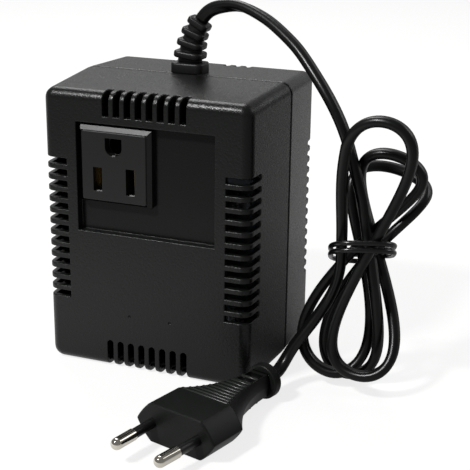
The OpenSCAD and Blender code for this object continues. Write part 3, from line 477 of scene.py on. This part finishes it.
# The recess floor reflects less than the rest of the case, so it reads darker: painted shade inside the
# recess. Its skin is smoother, with almost no grain
recess_shade_abs = surface("shaded_recess_abs", "#0e0f0e", "#131513", 14, (0.24, 0.3), 0.8, 0.01,
                       Specular_IOR_Level=0.16)
# The socket's resin is a shade lighter than the case, with a duller skin
socket_resin = surface("moulded_socket_resin", "#111211", "#161716", 9, (0.34, 0.46), 0.4, 0.03,
                       Specular_IOR_Level=0.32)
# Deep black with narrow highlights along the cores, and slight waves from the extruder
extruded_pvc = surface("extruded_black_pvc", "#090a09", "#0d0e0d", 25, (0.26, 0.34), 2.0, 0.02,
                       Specular_IOR_Level=0.28)
# Softer PVC with a dull skin
relief_pvc = surface("soft_moulded_pvc", "#0e0f0e", "#131413", 8, (0.38, 0.5), 0.6, 0.03,
                     Specular_IOR_Level=0.3)
# The plug's PVC is matt with a fine grain
plug_pvc = surface("moulded_plug_pvc", "#131513", "#191b19", 10, (0.34, 0.46), 0.5, 0.02,
                   Specular_IOR_Level=0.14)
# The grip ribs and the window bars get a lighter tone and a stronger gloss than the plug: a painted
# sheen, so that they read bright
sheen_grip_pvc = surface("painted_sheen_grip_pvc", "#1c1f1c", "#232623", 10, (0.3, 0.4), 0.5, 0.01,
                   Specular_IOR_Level=0.45)
# The tie's cover is thin and glossy
tie_cover = surface("glossy_tie_pvc", "#080908", "#0d0e0d", 6, (0.2, 0.28), 1.0, 0.01,
                    Specular_IOR_Level=0.45)
# The pins' sleeves are hard nylon
sleeve_nylon = surface("black_sleeve_nylon", "#101110", "#151615", 5, (0.3, 0.4), 0.5, 0.01,
                       Specular_IOR_Level=0.4)
print("black plastics:", moulded_abs.name, "to", sleeve_nylon.name)

# %% [markdown]
# ## Metals and the inside
# The pins are nickel-plated brass, bright with the faintest haze. Inside, steel sheets are stacked
# to a core, and their edges show as lines half a millimetre apart. Enamelled copper winds round a
# natural nylon bobbin, and the outer turns sit under yellow polyester tape. The leads are plain
# coloured PVC.

# %% Metals and the inside
# Bright plating, a little warm
nickel = surface("nickel_plate", "#d2cdc2", "#e0dbd0", 8, (0.07, 0.12), 1.5, 0.002, Metallic=1.0)
# Dull zinc, cloudy
zinc_steel = surface("zinc_plated_steel", "#85878c", "#a2a4a9", 3, (0.3, 0.45), 0.4, 0.008, Metallic=1.0)
# Rolled strip with a warm sheen
brass = surface("rolled_brass", "#a88648", "#c2a05c", 4, (0.22, 0.34), 0.5, 0.006, Metallic=1.0)
# Varnished edges of 0.5 mm sheets
core_steel = surface("stacked_core_steel", "#3a3d42", "#565a60", 6, (0.4, 0.55), 0.5, 0.01,
                     ("Y", 0.5, 0.15), Metallic=1.0)
# Turns of 0.8 mm wire under clear enamel
copper = surface("enamelled_copper", "#7a3c20", "#96502c", 5, (0.2, 0.3), 0.5, 0.004, ("Z", 0.8, 0.25),
                 Metallic=1.0)
# Dull grey solder coat
tin = surface("tinned_metal", "#a3a49f", "#bcbdb8", 2, (0.3, 0.42), 0.4, 0.006, Metallic=1.0)
# Milky, slightly see-through looking
natural_nylon = surface("natural_nylon", "#cfc9b8", "#dcd7c8", 8, (0.35, 0.45), 0.8, 0.01,
                        Subsurface_Weight=0.15, Subsurface_Radius=(0.002, 0.0015, 0.001))
# Thin sheet with a waxy skin
layer_film = surface("layer_film", "#c8b27a", "#d6c28e", 6, (0.3, 0.4), 1.0, 0.01)
# Wound tape, whose edges overlap every 6 mm
yellow_tape = surface("yellow_polyester_tape", "#c9a21c", "#d8b32e", 7, (0.22, 0.34), 1.5, 0.02,
                      ("Z", 6.0, 0.1))
# Woven glass with a coarse rib
fibre_sleeve = surface("woven_fibre_sleeve", "#d4cfc0", "#e4dfd2", 2, (0.6, 0.75), 0.5, 0.05,
                       ("X", 0.7, 0.15))
# Black-grey filled nylon
inner_plastic = surface("filled_nylon", "#1d1e20", "#27282a", 7, (0.42, 0.55), 0.6, 0.02)
# Thin coloured PVC with a soft shine
brown_lead, blue_lead, black_lead, white_lead = [
    surface(colour + "_lead_pvc", dark, light, 9, (0.35, 0.45), 0.9, 0.01)
    for colour, dark, light in (("brown", "#55301a", "#643a22"), ("blue", "#1f4c8c", "#2a5a9c"),
                                ("black", "#121213", "#1a1a1c"), ("white", "#d8d8d2", "#e6e6e0"))]
print("metals and the inside:", nickel.name, "to", white_lead.name)

# %% [markdown]
# ## Case and socket
# The shells and the socket are mouldings, and no moulding has a knife edge. Their solids already
# hold every vent, recess and boss, so a copy of each is merged, its flat faces are joined again,
# and a narrow bevel rounds what is left sharp. The rear shell's rim along the parting line is
# rounder, which is why it shows as a light line there. Two ejector pins left small round marks on
# the front. Weighted normals keep the wide faces flat in the light.

# %% How edges are softened
SHARP = math.radians(35)
FLAT = math.radians(0.5)
MERGE_MM = 0.002
CASE_EDGE_MM = 0.35
SOCKET_EDGE_MM = 0.12
RIM_MM = 0.95
RIM_NEAR_MM = 0.05
EDGE_SEGMENTS = 2
SPLIT_Y = 2.8
# The outer edge lies beyond this half width, and below and above these heights
OUTSIDE = (38.4, 0.8, 103.0)
RECESS_DEEP = 3.2
PIN_MARKS = ((-6.6, 21.0), (9.2, 21.0))
PIN_MARK_R = 0.55
PIN_MARK_DEEP = 0.35
PIN_MARK_OUT = 1
PIN_MARK_SIDES = 12


def on_rim(v):
    """True for a point of the outer edge along the parting line."""
    x, y, z = v.co / MM
    return abs(y - SPLIT_Y) < RIM_NEAR_MM and (abs(x) > OUTSIDE[0] or z < OUTSIDE[1] or z > OUTSIDE[2])


def softened(node, name, edge_mm, marks=None):
    """A copy of a node with its sharp edges rounded, to show in its place."""
    mesh = frame["nodes"][node].data.copy()
    work = bmesh.new()
    work.from_mesh(mesh)
    bmesh.ops.remove_doubles(work, verts=work.verts, dist=MERGE_MM * MM)
    bmesh.ops.dissolve_limit(work, angle_limit=FLAT, verts=work.verts, edges=work.edges)
    weight = work.edges.layers.float.new("bevel_weight_edge")
    for edge in work.edges:
        if len(edge.link_faces) == 2 and edge.calc_face_angle() > SHARP:
            edge[weight] = 1.0 if all(on_rim(v) for v in edge.verts) else edge_mm / RIM_MM
    work.to_mesh(mesh)
    work.free()
    made = bpy.data.objects.new(name + "_draft", mesh)
    scene.collection.objects.link(made)
    mesh.polygons.foreach_set("use_smooth", [True] * len(mesh.polygons))
    edge = made.modifiers.new("edge", "BEVEL")
    edge.width = RIM_MM * MM
    edge.segments = EDGE_SEGMENTS
    edge.limit_method = "WEIGHT"
    edge.use_clamp_overlap = False
    if marks:
        cut = made.modifiers.new("marks", "BOOLEAN")
        cut.object = marks
    made.modifiers.new("light", "WEIGHTED_NORMAL").keep_sharp = True
    made = baked(made, name)
    print(name, len(made.data.polygons), "faces")
    return made


print("edges:", CASE_EDGE_MM, "mm on the case,", SOCKET_EDGE_MM, "mm on the socket")

# %% Softened copies of the mouldings
front_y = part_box("front_shell")[0].y / MM
mark_rings = []
for x, z in PIN_MARKS:
    rim = [Vector((x + PIN_MARK_R * math.cos(a), 0, z + PIN_MARK_R * math.sin(a)))
           for a in turns(PIN_MARK_SIDES)]
    mark_rings.append([[p + DEPTH * y for p in rim]
                       for y in (front_y - PIN_MARK_OUT, front_y + PIN_MARK_DEEP)])
pin_marks = solids("pin_marks", *mark_rings)
front_case = softened("front_shell", "front_case", CASE_EDGE_MM, pin_marks)
bpy.data.objects.remove(pin_marks)
rear_case = softened("rear_shell", "rear_case", CASE_EDGE_MM)
socket_front = softened("socket_block", "socket_front", SOCKET_EDGE_MM)

# %% [markdown]
# ## Round the socket
# The socket's face stands on a skirt that slopes out to its root, widest above and to the right.
# Each opening also has a short sloping lip at its foot, which leads a pin in. Slopes like these
# face the key light, so they show as bright bands on a black face. Both are simple enough to write
# down point by point.

# %% Socket skirt
SOCKET_MID = (-11.7, 75.8)
SOCKET_HALF = 12.7
SKIRT_LESS = 0.45
SKIRT_MORE = 1.5
SKIRT_SEAM = 0.06
SKIRT_CLEAR = 0.02
SKIRT_SLOPE = 1.05
SKIRT_ROOT = 0.45
SKIRT_END = RECESS_DEEP - SKIRT_CLEAR
# How deep each row of the skirt lies, how far it stands off the socket, and whether it flares
SKIRT_ROWS = (
    (SKIRT_SEAM, SKIRT_CLEAR, 0), (SKIRT_SLOPE, 0, 1), (SKIRT_END, 0, 1), (SKIRT_END, SKIRT_ROOT, 0))
# The two ends and the foot of each opening: the blade slots and the earth hole
LIPS = ((-18.5, -16.45, 66.82), (-5.8, -3.75, 66.37), (-12.3, -11.1, 79.88))
LIP_FROM = 0.12
LIP_DEEP = 0.25
LIP_HIGH = 0.32
LIP_WEDGE = ((LIP_FROM, 0), (LIP_FROM + LIP_DEEP, LIP_HIGH), (LIP_FROM + LIP_DEEP, 0))
LIP_SIDES = ((0, 1, 2), (5, 4, 3), (0, 3, 4, 1), (1, 4, 5, 2), (2, 5, 3, 0))
skirt = []
for sx, sz in CORNERS:
    for deep, more, flare in SKIRT_ROWS:
        grow_x = more + flare * (SKIRT_MORE if sx > 0 else SKIRT_LESS)
        grow_z = more + flare * (SKIRT_MORE if sz > 0 else SKIRT_LESS)
        skirt.append(Vector((SOCKET_MID[0] + sx * (SOCKET_HALF + grow_x), front_y + deep,
                             SOCKET_MID[1] + sz * (SOCKET_HALF + grow_z))))
rows = len(SKIRT_ROWS)
skirt_faces = []
for i in range(len(CORNERS)):
    here = i * rows
    there = (i + 1) % len(CORNERS) * rows
    for j in range(rows):
        k = (j + 1) % rows
        skirt_faces.append((here + j, here + k, there + k, there + j))
for x0, x1, z in LIPS:
    start = len(skirt)
    skirt += [Vector((x, front_y + deep, z + rise)) for x in (x0, x1) for deep, rise in LIP_WEDGE]
    skirt_faces += [tuple(start + i for i in side) for side in LIP_SIDES]
socket_skirt = outwards(piece("socket_skirt", [p * MM for p in skirt], skirt_faces, smooth=False))
print("socket skirt:", len(socket_skirt.data.polygons), "faces")

# %% [markdown]
# ## Ribs along a line
# The strain relief's ribs and the plug's grip are the same idea: one rib, set again and again
# along a line and shrinking with it. Geometry Nodes do that well. The line's own radius says how
# wide each rib is, the rib turns to face along the line, and an input says whether its depth
# shrinks too.

# %% Rib tree
rib_tree = bpy.data.node_groups.new("ribs_along_a_line", "GeometryNodeTree")
for label, kind in (("Line", "Object"), ("Rib", "Object"), ("Count", "Int"), ("Deepens", "Float"),
                    ("Finish", "Material")):
    rib_tree.interface.new_socket(label, in_out="INPUT", socket_type="NodeSocket" + kind)
rib_tree.interface.new_socket("Ribs", in_out="OUTPUT", socket_type="NodeSocketGeometry")
given = add(rib_tree, "NodeGroupInput").outputs
line = add(rib_tree, "GeometryNodeObjectInfo", {"Object": given["Line"]})
rib = add(rib_tree, "GeometryNodeObjectInfo", {"Object": given["Rib"]})
spots = add(rib_tree, "GeometryNodeCurveToPoints",
            {"Curve": line.outputs["Geometry"], "Count": given["Count"]}, mode="COUNT")
turn = add(rib_tree, "FunctionNodeAlignRotationToVector", {"Vector": spots.outputs["Tangent"]}, axis="Z")
wide = add(rib_tree, "GeometryNodeInputRadius").outputs["Radius"]
deep = add(rib_tree, "ShaderNodeMix", {"Factor": given["Deepens"], "A": 1.0, "B": wide})
size = add(rib_tree, "ShaderNodeCombineXYZ", {"X": wide, "Y": deep.outputs["Result"], "Z": 1.0})
copies = add(rib_tree, "GeometryNodeInstanceOnPoints", {
    "Points": spots.outputs["Points"], "Instance": rib.outputs["Geometry"],
    "Rotation": turn.outputs["Rotation"], "Scale": size.outputs["Vector"]})
real = add(rib_tree, "GeometryNodeRealizeInstances", {"Geometry": copies.outputs["Instances"]})
finished = add(rib_tree, "GeometryNodeSetMaterial",
               {"Geometry": real.outputs["Geometry"], "Material": given["Finish"]})
add(rib_tree, "NodeGroupOutput", {"Ribs": finished.outputs["Geometry"]})
print("rib tree:", len(rib_tree.nodes), "nodes")

# %% Ribs as a mesh
def ribs_along(name, lines, rib, count, deepens, finish):
    """A plain mesh of ribs along lines of points in millimetres, each with the scale of a rib there."""
    curve = bpy.data.curves.new(name + "_line", "CURVE")
    curve.dimensions = "3D"
    for points in lines:
        spline = curve.splines.new("POLY")
        spline.points.add(len(points) - 1)
        for spot, (at, scale) in zip(spline.points, points):
            spot.co = (*(at * MM), 1)
            spot.radius = scale
    guide = bpy.data.objects.new(name + "_line", curve)
    scene.collection.objects.link(guide)
    made = piece(name + "_draft", [], [])
    grow = made.modifiers.new("ribs", "NODES")
    grow.node_group = rib_tree
    values = {"Line": guide, "Rib": rib, "Count": count, "Deepens": deepens, "Finish": finish}
    for item in rib_tree.interface.items_tree:
        if item.name in values:
            grow[item.identifier] = values[item.name]
    made = baked(made, name)
    for helper in (guide, rib):
        bpy.data.objects.remove(helper)
    print(name, len(made.data.polygons), "faces")
    return made


print("ribs can be set")

# %% [markdown]
# ## Strain relief
# A soft moulded boot keeps the cord from kinking where it leaves the case: a collar, a core that
# narrows upwards and four thick ribs with deep gaps between them, all leaning to the right. The
# collar and the core are lofts, and the ribs come from the tree above.

# %% Strain relief sections
COLLAR = (12.6, 9.4)
COLLAR_FROM = 103.8
COLLAR_SUNK = 0.6
RELIEF_CORNER = 2.4
RELIEF_EDGE = 0.7
RELIEF_NECK = (9.0, 7.0)
FLANGE_H = 2.0
RIBS = 4
RIB_W = 10.8
RIB_STEP = 0.85
RIB_PITCH = 4.0
RIB_H = 2.4
RIB_FLAT = 1.4
RIB_WAIST = 1.7
WAIST_DEEP = 2.0
RELIEF_WALL = 0.6
CORNER_STEPS = 6
CORE_STEPS = 33
CORE_SIDES = 32
SLAB_DEGREES = (0, 30, 60, 90)


def round_rect(w, d, r):
    """A rounded rectangle's outline, centred."""
    outline = []
    for k, (sx, sy) in enumerate(((1, 1), (-1, 1), (-1, -1), (1, -1))):
        for i in range(CORNER_STEPS + 1):
            a = math.pi / 2 * (k + i / CORNER_STEPS)
            outline.append((sx * (w / 2 - r) + r * math.cos(a), sy * (d / 2 - r) + r * math.sin(a)))
    return outline


def slab(w, d, r, low, high, edge, at=(0, 0)):
    """Rings of a rounded slab with round edges below and above."""
    rounding = [math.radians(a) for a in SLAB_DEGREES]
    rows = [(edge * (1 - math.sin(a)), low + edge * (1 - math.cos(a))) for a in rounding]
    rows += [(edge * (1 - math.sin(a)), high - edge * (1 - math.cos(a))) for a in reversed(rounding)]
    rings = []
    for inset, z in rows:
        outline = round_rect(w - 2 * inset, d - 2 * inset, r - inset)
        rings.append([Vector((at[0] + x, at[1] + y, z)) for x, y in outline])
    return rings


def rib_width(s):
    """How wide a rib is a length s above the collar."""
    return RIB_W - RIB_STEP * (s / RIB_PITCH - 0.5)


print("ribs:", rib_width(RIB_PITCH), "mm wide below,", rib_width(RIBS * RIB_PITCH), "mm above")

# %% Strain relief
relief_core = []
for i in range(CORE_STEPS + 1):
    s = RELIEF_L * i / CORE_STEPS
    half_w = (rib_width(s) - RIB_WAIST) / 2
    half_d = max((rib_width(s) - RIB_FLAT) / 2 - WAIST_DEEP, CORD_T / 2 + RELIEF_WALL)
    thin = DEPTH.cross(relief_aim(s))
    relief_core.append([relief_point(s) + thin * half_w * math.cos(a) + DEPTH * half_d * math.sin(a)
                        for a in turns(CORE_SIDES)])
flange_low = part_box("strain_relief")[0].z / MM
relief_boot = solids(
    "relief_boot",
    slab(*COLLAR, RELIEF_CORNER, COLLAR_FROM - COLLAR_SUNK, COLLAR_TOP, RELIEF_EDGE, RELIEF_AT),
    slab(*RELIEF_NECK, RELIEF_CORNER / 2, flange_low, COLLAR_FROM, RELIEF_EDGE / 2, RELIEF_AT),
    slab(*COLLAR, RELIEF_CORNER, flange_low, flange_low + FLANGE_H, RELIEF_EDGE / 2, RELIEF_AT),
    relief_core)
first_rib = RIB_PITCH - RIB_H / 2
last_rib = RIBS * RIB_PITCH - RIB_H / 2
rib_line = []
for i in range(CORE_STEPS + 1):
    s = first_rib + (last_rib - first_rib) * i / CORE_STEPS
    rib_line.append((relief_point(s), 1 - RIB_STEP / RIB_W * (s - first_rib) / RIB_PITCH))
one_rib = solids("one_rib", slab(
    RIB_W, RIB_W - RIB_FLAT, RELIEF_CORNER, -RIB_H / 2, RIB_H / 2, RELIEF_EDGE))
relief_ribs = ribs_along("relief_ribs", [rib_line], one_rib, RIBS, 1.0, relief_pvc)

# %% [markdown]
# ## Plug
# The plug is one soft moulding: a flat block with slanting sides, a neck that sweeps in to the cord, two
# windows near its end and a round disc to pull on. Every section is flat above and below with a nose at
# each side, so one formula gives all the rings. A boolean cuts the windows, and their walls get the
# cord's darker black as painted shade. Fine grip ribs follow the neck, and two more bars edge the
# windows.

# %% Plug sections
PLUG_W = 32.0
PLUG_TOP_W = 20.6
PLUG_T = 13.7
PLUG_EDGE = 0.8
NECK_HALF = (3.2, 3.9, 4.1)
NECK_POWER = 2.2
NECK_STEPS = 28
NOSE_POWER = 1.7
NOSE_STEPS = 10
DISC_R = 6.3
DISC_EDGE = 0.7
DISC_SIDES = 48
DISC_ROUND = ((0, 1), (0.3, 0.3), (1, 0))
PLUG_DEGREES = range(0, 91, 15)
WINDOW = (5.6, 3.2, 3.2)
WINDOW_CORNERS = ((-1, 0), (1, 0), (1, 1), (-1, 1))
WINDOW_BACK = 10.5
WINDOW_PITCH = 5.0
WALL_NEAR = 0.05
neck_from = PIN_L + BLOCK_L
disc_from = neck_from + NECK_L
window_from = disc_from - WINDOW_BACK
plug_place = Matrix.Translation(PLUG_TIP * MM) @ Matrix.Rotation(PLUG_TURN, 4, "Z")


def plug_ring(s, half_top, half_w, half_t):
    """A section of the plug in its own frame: flat above and below, with a nose at each side."""
    ring = []
    for side in (1, -1):
        for i in range(-NOSE_STEPS, NOSE_STEPS + 1):
            a = math.pi / 2 * i / NOSE_STEPS
            out = max(math.cos(a), 0) ** NOSE_POWER
            rise = math.copysign(abs(math.sin(a)) ** NOSE_POWER, a)
            ring.append(Vector((side * (half_top + (half_w - half_top) * out), s, side * half_t * rise)))
    return ring


def neck_half(s):
    """Half the flat top, half the width and half the thickness at a station of the neck."""
    k = (1 - (s - neck_from) / NECK_L) ** NECK_POWER
    block = (PLUG_TOP_W / 2, PLUG_W / 2, PLUG_T / 2)
    return [thin + (full - thin) * k for thin, full in zip(NECK_HALF, block)]


print("plug:", PLUG_W, "x", PLUG_T, "mm, its neck from", neck_from, "to", disc_from, "mm")

# %% Plug body
plug_rings = []
for degrees in PLUG_DEGREES:
    a = math.radians(degrees)
    inset = PLUG_EDGE * (1 - math.sin(a))
    plug_rings.append(plug_ring(PIN_L + PLUG_EDGE * (1 - math.cos(a)), PLUG_TOP_W / 2 - inset,
                                PLUG_W / 2 - inset, PLUG_T / 2 - inset / 2))
plug_rings += [plug_ring(s, *neck_half(s)) for s in
               (neck_from + NECK_L * i / NECK_STEPS for i in range(NECK_STEPS + 1))]
disc_rows = [(disc_from + DISC_EDGE * s, DISC_R - DISC_EDGE * inset) for s, inset in DISC_ROUND]
disc_rows += [(2 * disc_from + DISC_T - s, r) for s, r in reversed(disc_rows)]
disc = [[Vector((r * math.cos(a), s, r * math.sin(a))) for a in turns(DISC_SIDES)]
        for s, r in disc_rows]
window_rings = []
for s in (window_from, window_from + WINDOW_PITCH):
    for side in (1, -1):
        floor_z = side * (NECK_HALF[2] - WINDOW[2])
        window_rings.append([[Vector((x * WINDOW[0] / 2, s + y * WINDOW[1], z))
                              for x, y in WINDOW_CORNERS] for z in (floor_z, side * PLUG_T)])
windows = solids("plug_windows", *window_rings)
moulding = solids("plug_draft", plug_rings, disc)
cut = moulding.modifiers.new("windows", "BOOLEAN")
cut.object = windows
moulding.modifiers.new("light", "WEIGHTED_NORMAL").keep_sharp = True
plug_moulding = baked(moulding, "plug_moulding")
window_to = window_from + WINDOW_PITCH + WINDOW[1]
in_windows = [face.index for face in plug_moulding.data.polygons
              if window_from - WALL_NEAR < face.center.y / MM < window_to + WALL_NEAR
              and abs(face.center.x) / MM < WINDOW[0] / 2 + WALL_NEAR
              and abs(face.center.z) / MM < NECK_HALF[2] - WALL_NEAR]
plug_moulding.data.transform(plug_place)
bpy.data.objects.remove(windows)
print("plug:", len(plug_moulding.data.polygons), "faces")

# %% Grip ribs
GRIP_COUNT = 9
GRIP_HALF = (5.0, 0.45, 0.6)
GRIP_IN = 0.7
GRIP_SHORT = GRIP_IN / 4
GRIP_ENDS = 1.0
GRIP_SUNK = 0.4
BAR_PLACES = (-0.35, 4.1)
BAR_SIDES = 12
BAR_END = 0.4
BAR_ROUND = 0.3
grip_from = neck_from + GRIP_IN
grip_span = window_from - GRIP_ENDS - GRIP_IN - neck_from
grip_lines = []
bar_lines = []
for side in (1, -1):
    ribs = []
    for i in range(GRIP_COUNT):
        s = grip_from + grip_span * i / (GRIP_COUNT - 1)
        half_top, _, half_t = neck_half(s)
        # The ribs below sit deeper, so that they clear the floor
        z = half_t if side > 0 else GRIP_SUNK - half_t
        ribs.append((Vector((0, s, z)), (half_top - GRIP_SHORT) / GRIP_HALF[0]))
    grip_lines.append(ribs)
    bars = []
    for place in BAR_PLACES:
        half_top, _, half_t = neck_half(window_from + place)
        bars.append((Vector((0, window_from + place, side * half_t)), half_top / GRIP_HALF[0]))
    bar_lines.append(bars)
bar = []
for x, k in ((-GRIP_HALF[0], BAR_END), (-GRIP_HALF[0] + BAR_ROUND, 1),
             (GRIP_HALF[0] - BAR_ROUND, 1), (GRIP_HALF[0], BAR_END)):
    bar.append([Vector((x, GRIP_HALF[1] * k * math.cos(a), GRIP_HALF[2] * k * math.sin(a)))
                for a in turns(BAR_SIDES)])
plug_grip = ribs_along("plug_grip", grip_lines, solids("one_bar", bar), GRIP_COUNT, 0.0, sheen_grip_pvc)
window_bars = ribs_along("window_bars", bar_lines, solids("one_bar", bar), len(BAR_PLACES), 0.0,
                         sheen_grip_pvc)
for made in (plug_grip, window_bars):
    made.data.transform(plug_place)

# %% [markdown]
# ## Dress every piece
# Each solid of the frame keeps its shape and gets the finish of what it is made of. New pieces get
# theirs here too.

# %% Finishes
DRESSED = (
    (moulded_abs, ["front_shell", "rear_shell"], [front_case, rear_case]),
    (socket_resin, ["socket_block"], [socket_front, socket_skirt]),
    (inner_plastic, ["socket_cover", "cord_clamp"], []),
    (zinc_steel, ["case_screws", "socket_screws", "cover_screws", "core_screws", "core_washers",
                  "clamp_screws"], []),
    (brass, ["live_contact", "live_leaf", "neutral_contact", "neutral_leaf", "earth_contact"], []),
    (core_steel, ["core_e_stack", "core_i_stack"], []),
    (natural_nylon, ["bobbin"], []),
    (copper, ["common_winding", "series_winding"], []),
    (layer_film, ["layer_paper"], []),
    (yellow_tape, ["winding_tape"], []),
    (tin, ["terminal_pins", "thermal_fuse"], []),
    (fibre_sleeve, ["fuse_sleeve"], []),
    (brown_lead, ["lead_live_in", "lead_fuse_link"], []),
    (blue_lead, ["lead_neutral_in"], []),
    (black_lead, ["lead_live_out"], []),
    (white_lead, ["lead_neutral_out"], []),
    (relief_pvc, ["strain_relief"], [relief_boot, relief_ribs]),
    (extruded_pvc, ["cord_inlet", "cord_arc", "cord_hank", "cord_tail"], [flat_cord]),
    (tie_cover, ["cord_tie"], [tie_wire]),
    (plug_pvc, ["plug_body"], [plug_moulding]),
    (sheen_grip_pvc, [], [plug_grip, window_bars]),
    (nickel, ["plug_pins"], []),
    (sleeve_nylon, ["pin_sleeves"], []),
)


def second_finish(made, finish, faces):
    """Gives some faces of a piece another finish."""
    made.data.materials.append(finish)
    for face in faces:
        face.material_index = 1


for finish, names, pieces in DRESSED:
    for made in [frame["nodes"][name] for name in names] + pieces:
        made.data.materials.clear()
        made.data.materials.append(finish)
# The recess floor takes the duller finish, as painted shade
second_finish(front_case, recess_shade_abs, [
    face for face in front_case.data.polygons
    if abs(face.center.y / MM - front_y - RECESS_DEEP) < RIM_NEAR_MM])
# The window walls take the cord's darker black, as painted shade inside the windows
second_finish(plug_moulding, extruded_pvc, [plug_moulding.data.polygons[i] for i in in_windows])
dressed = sum(len(names) for finish, names, pieces in DRESSED)
added = sum(len(pieces) for finish, names, pieces in DRESSED)
print("dressed:", dressed, "of", len(frame["nodes"]), "nodes and", added, "new pieces")

# %% [markdown]
# ## Floor and light
# The object stands on white paper, and the camera looks down far enough that paper is all of the
# background. The paper takes the object's shadow. For the camera it also glows, so that it reads as
# white without more light on the object. Glossy and transmission rays see a painted reflection on it: a
# glowing pool in front of the object that fades outwards, and behind the object a slanted glowing strip
# that paints a reflection on the side of the rear shell alone. A small key light stands in front at the
# upper left and gives slopes and edges their glints. A wide light above and behind gives the top face
# its sheen, a long low box lies further back, and a fourth rims the right side from behind. Sizes in
# these two cells are metres.

# %% Floor
FLOOR_HALF = 4.0
FLOOR_Z = -0.0001
PAPER = "#828281"
PAPER_GLOW = 0.8
POOL_AT = (-0.08, -0.1, FLOOR_Z)
POOL_REACH = (0.03, 0.2)
POOL_GLOW = (1.15, 0.1)
POOL_BACK = (-0.03, 0.01)
STRIP_SLANT = 2.5
STRIP_EDGE = (-0.1, -0.05)
STRIP_GLOW = (0.01, 0.5)
corners = [(sx * FLOOR_HALF, sy * FLOOR_HALF, FLOOR_Z) for sx, sy in CORNERS]
paper_floor = piece("paper_floor", corners, [(0, 1, 2, 3)], smooth=False)
white_paper, tree = blank("white_paper")
ray = add(tree, "ShaderNodeLightPath").outputs
place = add(tree, "ShaderNodeTexCoord").outputs["Object"]
away = add(tree, "ShaderNodeVectorMath", {0: place, 1: POOL_AT}, operation="DISTANCE")
slant = add(tree, "ShaderNodeVectorMath", {0: place, 1: (-STRIP_SLANT, 1, 0)}, operation="DOT_PRODUCT")
back_y = add(tree, "ShaderNodeSeparateXYZ", {"Vector": place}).outputs["Y"]
# The pool and the strip glow only for glossy and transmission rays: painted reflections on the case
painted_reflection = add(tree, "ShaderNodeMix", {
    "Factor": ranged(tree, back_y, POOL_BACK, (0, 1)),
    "A": ranged(tree, away.outputs["Value"], POOL_REACH, POOL_GLOW),
    "B": ranged(tree, slant.outputs["Value"], STRIP_EDGE, STRIP_GLOW)})
bounced = reckon(tree, "MAXIMUM", ray["Is Glossy Ray"], ray["Is Transmission Ray"])
bounced = reckon(tree, "MULTIPLY", bounced, painted_reflection.outputs["Result"])
seen = reckon(tree, "MAXIMUM", ray["Is Camera Ray"], bounced)
matt = add(tree, "ShaderNodeBsdfDiffuse", {"Color": linear(PAPER)})
glow = add(tree, "ShaderNodeEmission", {
    "Color": linear("#ffffff"), "Strength": reckon(tree, "MULTIPLY", seen, PAPER_GLOW)})
lit = add(tree, "ShaderNodeAddShader", {0: matt.outputs[0], 1: glow.outputs[0]})
add(tree, "ShaderNodeOutputMaterial", {"Surface": lit.outputs[0]})
paper_floor.data.materials.append(white_paper)
print("floor:", 2 * FLOOR_HALF, "m square")

# %% Light
ROOM_LEVEL = 0.2
OBJECT_MIDDLE = Vector((0.01, -0.01, 0.06))
# The place of each lamp, its size in metres and its watts
LAMPS = (
    ("key", (-0.34, -0.63, 0.8), (0.15, 0.1), 10),
    ("top", (-0.37, 0.57, 0.91), (0.5, 0.6), 5.5),
    ("back", (-0.3, 1.1, 0.4), (1.8, 0.6), 0.87),
    ("rim", (0.65, 0.6, 0.52), (0.4, 0.4), 1.3),
)
room = bpy.data.worlds.new("studio")
room.use_nodes = True
room.node_tree.nodes.clear()
walls = add(room.node_tree, "ShaderNodeBackground", {"Color": linear("#ffffff"), "Strength": ROOM_LEVEL})
add(room.node_tree, "ShaderNodeOutputWorld", {"Surface": walls.outputs["Background"]})
scene.world = room
for name, at, size, watts in LAMPS:
    lamp = bpy.data.lights.new(name, "AREA")
    lamp.shape = "RECTANGLE"
    lamp.size, lamp.size_y = size
    lamp.energy = watts
    made = bpy.data.objects.new(name, lamp)
    made.location = at
    made.rotation_euler = (OBJECT_MIDDLE - Vector(at)).to_track_quat("-Z", "Y").to_euler()
    scene.collection.objects.link(made)
print("lamps:", len(LAMPS))

# %% [markdown]
# ## Bodies
# Nothing here moves but the two contact springs inside the socket, which are solids of the frame.
# Every new piece rides on the converter, says which solid it stands for and which finish slot it
# takes.

# %% Ride
RIDERS = (
    (front_case, ["front_shell"], "case_abs"),
    (rear_case, ["rear_shell"], "case_abs"),
    (socket_front, ["socket_block"], "socket_resin"),
    (socket_skirt, [], "socket_resin"),
    (relief_boot, ["strain_relief"], "relief_pvc"),
    (relief_ribs, [], "relief_pvc"),
    (flat_cord, ["cord_arc", "cord_hank", "cord_tail"], "cord_pvc"),
    (tie_wire, ["cord_tie"], "tie_pvc"),
    (plug_moulding, ["plug_body"], "plug_pvc"),
    (plug_grip, [], "plug_pvc"),
    (window_bars, [], "plug_pvc"),
)
for made, nodes, slot in RIDERS:
    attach(made, BODY)
    if nodes:
        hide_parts(*nodes)
print("riding:", len(RIDERS), "new pieces")
